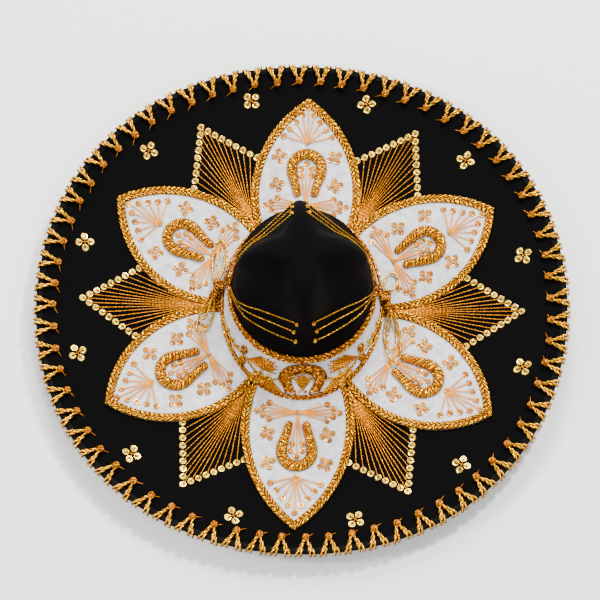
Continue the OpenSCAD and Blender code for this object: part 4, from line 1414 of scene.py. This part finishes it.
def outside_crown(p):
    """Moves the points of a straight run out to the wall where they would sink into it."""
    y = mid_y(p[:, 2])
    a = np.degrees(np.arctan2((p[:, 1] - y) / wall_y(p[:, 2]), p[:, 0] / wall_x(p[:, 2])))
    w = crown_at(a, p[:, 2], CORD_OUT)
    mine = np.hypot(p[:, 0], p[:, 1] - y)
    theirs = np.hypot(w[:, 0], w[:, 1] - y)
    return np.where((mine > theirs)[:, None], p, w)


def run(p, q):
    """A taut length of cord between two points, laid over the crown."""
    return outside_crown(p + (q - p) * steps(40)[:, None])


def crown_cords():
    cords, knots = Shape(), Shape()
    for side in (-1, 1):
        for way in (-1, 1):
            turns, ends = (BACK_TURNS, BACK_ENDS) if way > 0 else (FRONT_TURNS, FRONT_ENDS)
            for k in range(3):
                p0 = wall_pt(cord_angle(side, way, 2 + 1.5 * k), CORD_FOOT, CORD_OUT)
                p1 = crown_at(CROWN_TURN + cord_angle(side, way, turns[k][0]), turns[k][1], CORD_OUT)
                a = CROWN_TURN + cord_angle(side, way, 90 - ends[k][0])
                p2 = crown_at(a, ends[k][1], CORD_OUT)
                line = np.concatenate([run(p0, p1), run(p1, p2)[1:]])
                cords.tube(smooth(line[::3], 0.0005, 2), 0.00085, 10, plies=2, pitch=0.0036, groove=0.3)
                end_knot(knots, a + side * way * 2.2, ends[k][1])
    cords.build("crown_cords", CORD_GOLD, "gold_cord")
    knots.build("crown_cord_knots", CORD_GOLD, "gold_cord")


def end_knot(shape, a, z):
    """The cord's end, wound into an upright knot with a short tail."""
    out = wall_out(a, z)
    across = unit(crown_at(a + 1, z, 0) - crown_at(a - 1, z, 0))
    up = np.cross(across, out)
    centre = crown_at(a, z, CORD_OUT + 0.0004)
    climb = np.linspace(-1, 1, 60)[:, None]
    wide = 0.0012 * np.sqrt(np.maximum(0.15, 1 - 0.75 * climb ** 2))
    path = wide * circling(out, across, 3, 60) + climb * 0.0020 * up
    shape.tube(centre + path, 0.0007, 8)
    tail = centre - up * np.linspace(0.001, 0.0042, 8)[:, None]
    shape.tube(tail + across * 0.0008, 0.0005, 8)


def winding(shape, start, end, wide, turns, radius):
    """A cord wound round a short bundle from start to end, with the bundle inside it."""
    start, end = np.asarray(start, float), np.asarray(end, float)
    axis = unit(end - start)
    x, y = frame_at(axis, 0)
    count = int(turns * 28)
    share = steps(count)[:, None]
    swell = wide * (0.8 + 0.2 * np.sin(np.pi * share))
    path = start + (end - start) * share + swell * circling(x, y, turns, count)
    shape.tube(path, radius, 10, plies=2, pitch=0.004, groove=0.25)
    core = start + (end - start) * np.linspace(-0.08, 1.08, 12)[:, None]
    shape.tube(core, wide * 0.9, 14)


# A bow's places are inwards from its middle, towards the back, and up from the velvet.
# Each winding: its start and end, its radius, its turns and its cord's radius
BOW_WINDINGS = [((0, -0.006, 0.007), (0, 0.006, 0.007), 0.0028, 3.5, 0.0012),
                ((-0.0018, 0.002, 0.011), (0.0030, 0.004, 0.013), 0.0030, 2, 0.0012),
                ((0.0045, 0.001, 0.014), (0.0060, 0.008, 0.016), 0.0026, 3, 0.0011),
                ((0.0080, 0.004, 0.019), (0.0095, 0.008, 0.022), 0.0022, 2.5, 0.0011)]
# The windings that hold each bow's upper and lower loops
THROATS = {"left": [((-0.0012, 0.0100, 0.0110), (0.0002, 0.0020, 0.0090)),
                    ((-0.0055, -0.0100, 0.0106), (-0.0010, 0.0000, 0.0095))],
           "right": [((0.0005, 0.0120, 0.0100), (0.0002, 0.0040, 0.0090)),
                     ((-0.0055, -0.0125, 0.0112), (-0.0010, -0.0020, 0.0095))]}


def bow_knots():
    for name, side, y in (("left", -1, 0.013), ("right", 1, 0.006)):
        shape = Shape()

        def place(dx, dy, h):
            return on_brim(side * (0.086 - dx), y + dy, h)

        throats = [(start, end, 0.0037, 3.2, 0.0013) for start, end in THROATS[name]]
        for start, end, wide, turns, radius in BOW_WINDINGS + throats:
            winding(shape, place(*start), place(*end), wide, turns, radius)
        foot = place(0.009, 0.006, 0.022)
        for k in range(3):
            top = wall_pt(cord_angle(side, 1, 6 * k - 6), CORD_FOOT, CORD_OUT + 0.001)
            t = steps(30)[:, None]
            path = foot + (top - foot) * t
            path[:, 0] += side * 0.0016 * np.sin(np.pi * t[:, 0])
            shape.tube(path, 0.0010, 10, plies=2, pitch=0.0036, groove=0.3)
        shape.build("bow_knot_" + name, BAND_GOLD, "gold_cord")


# ---------------- the hat
camera()
bow_loops("left", LOOPS_LEFT)
bow_loops("right", LOOPS_RIGHT)
bow_knots()
crown()
brim()
lacing()
for petal_name, petal_angle in PETALS.items():
    petal(petal_name, petal_angle)
    petal_braid(petal_name, petal_angle)
    horseshoe(petal_name, petal_angle)
fans()
flowers()
sprays()
band()
emblem()
band_work()
scrolls()
crown_cords()
studio()
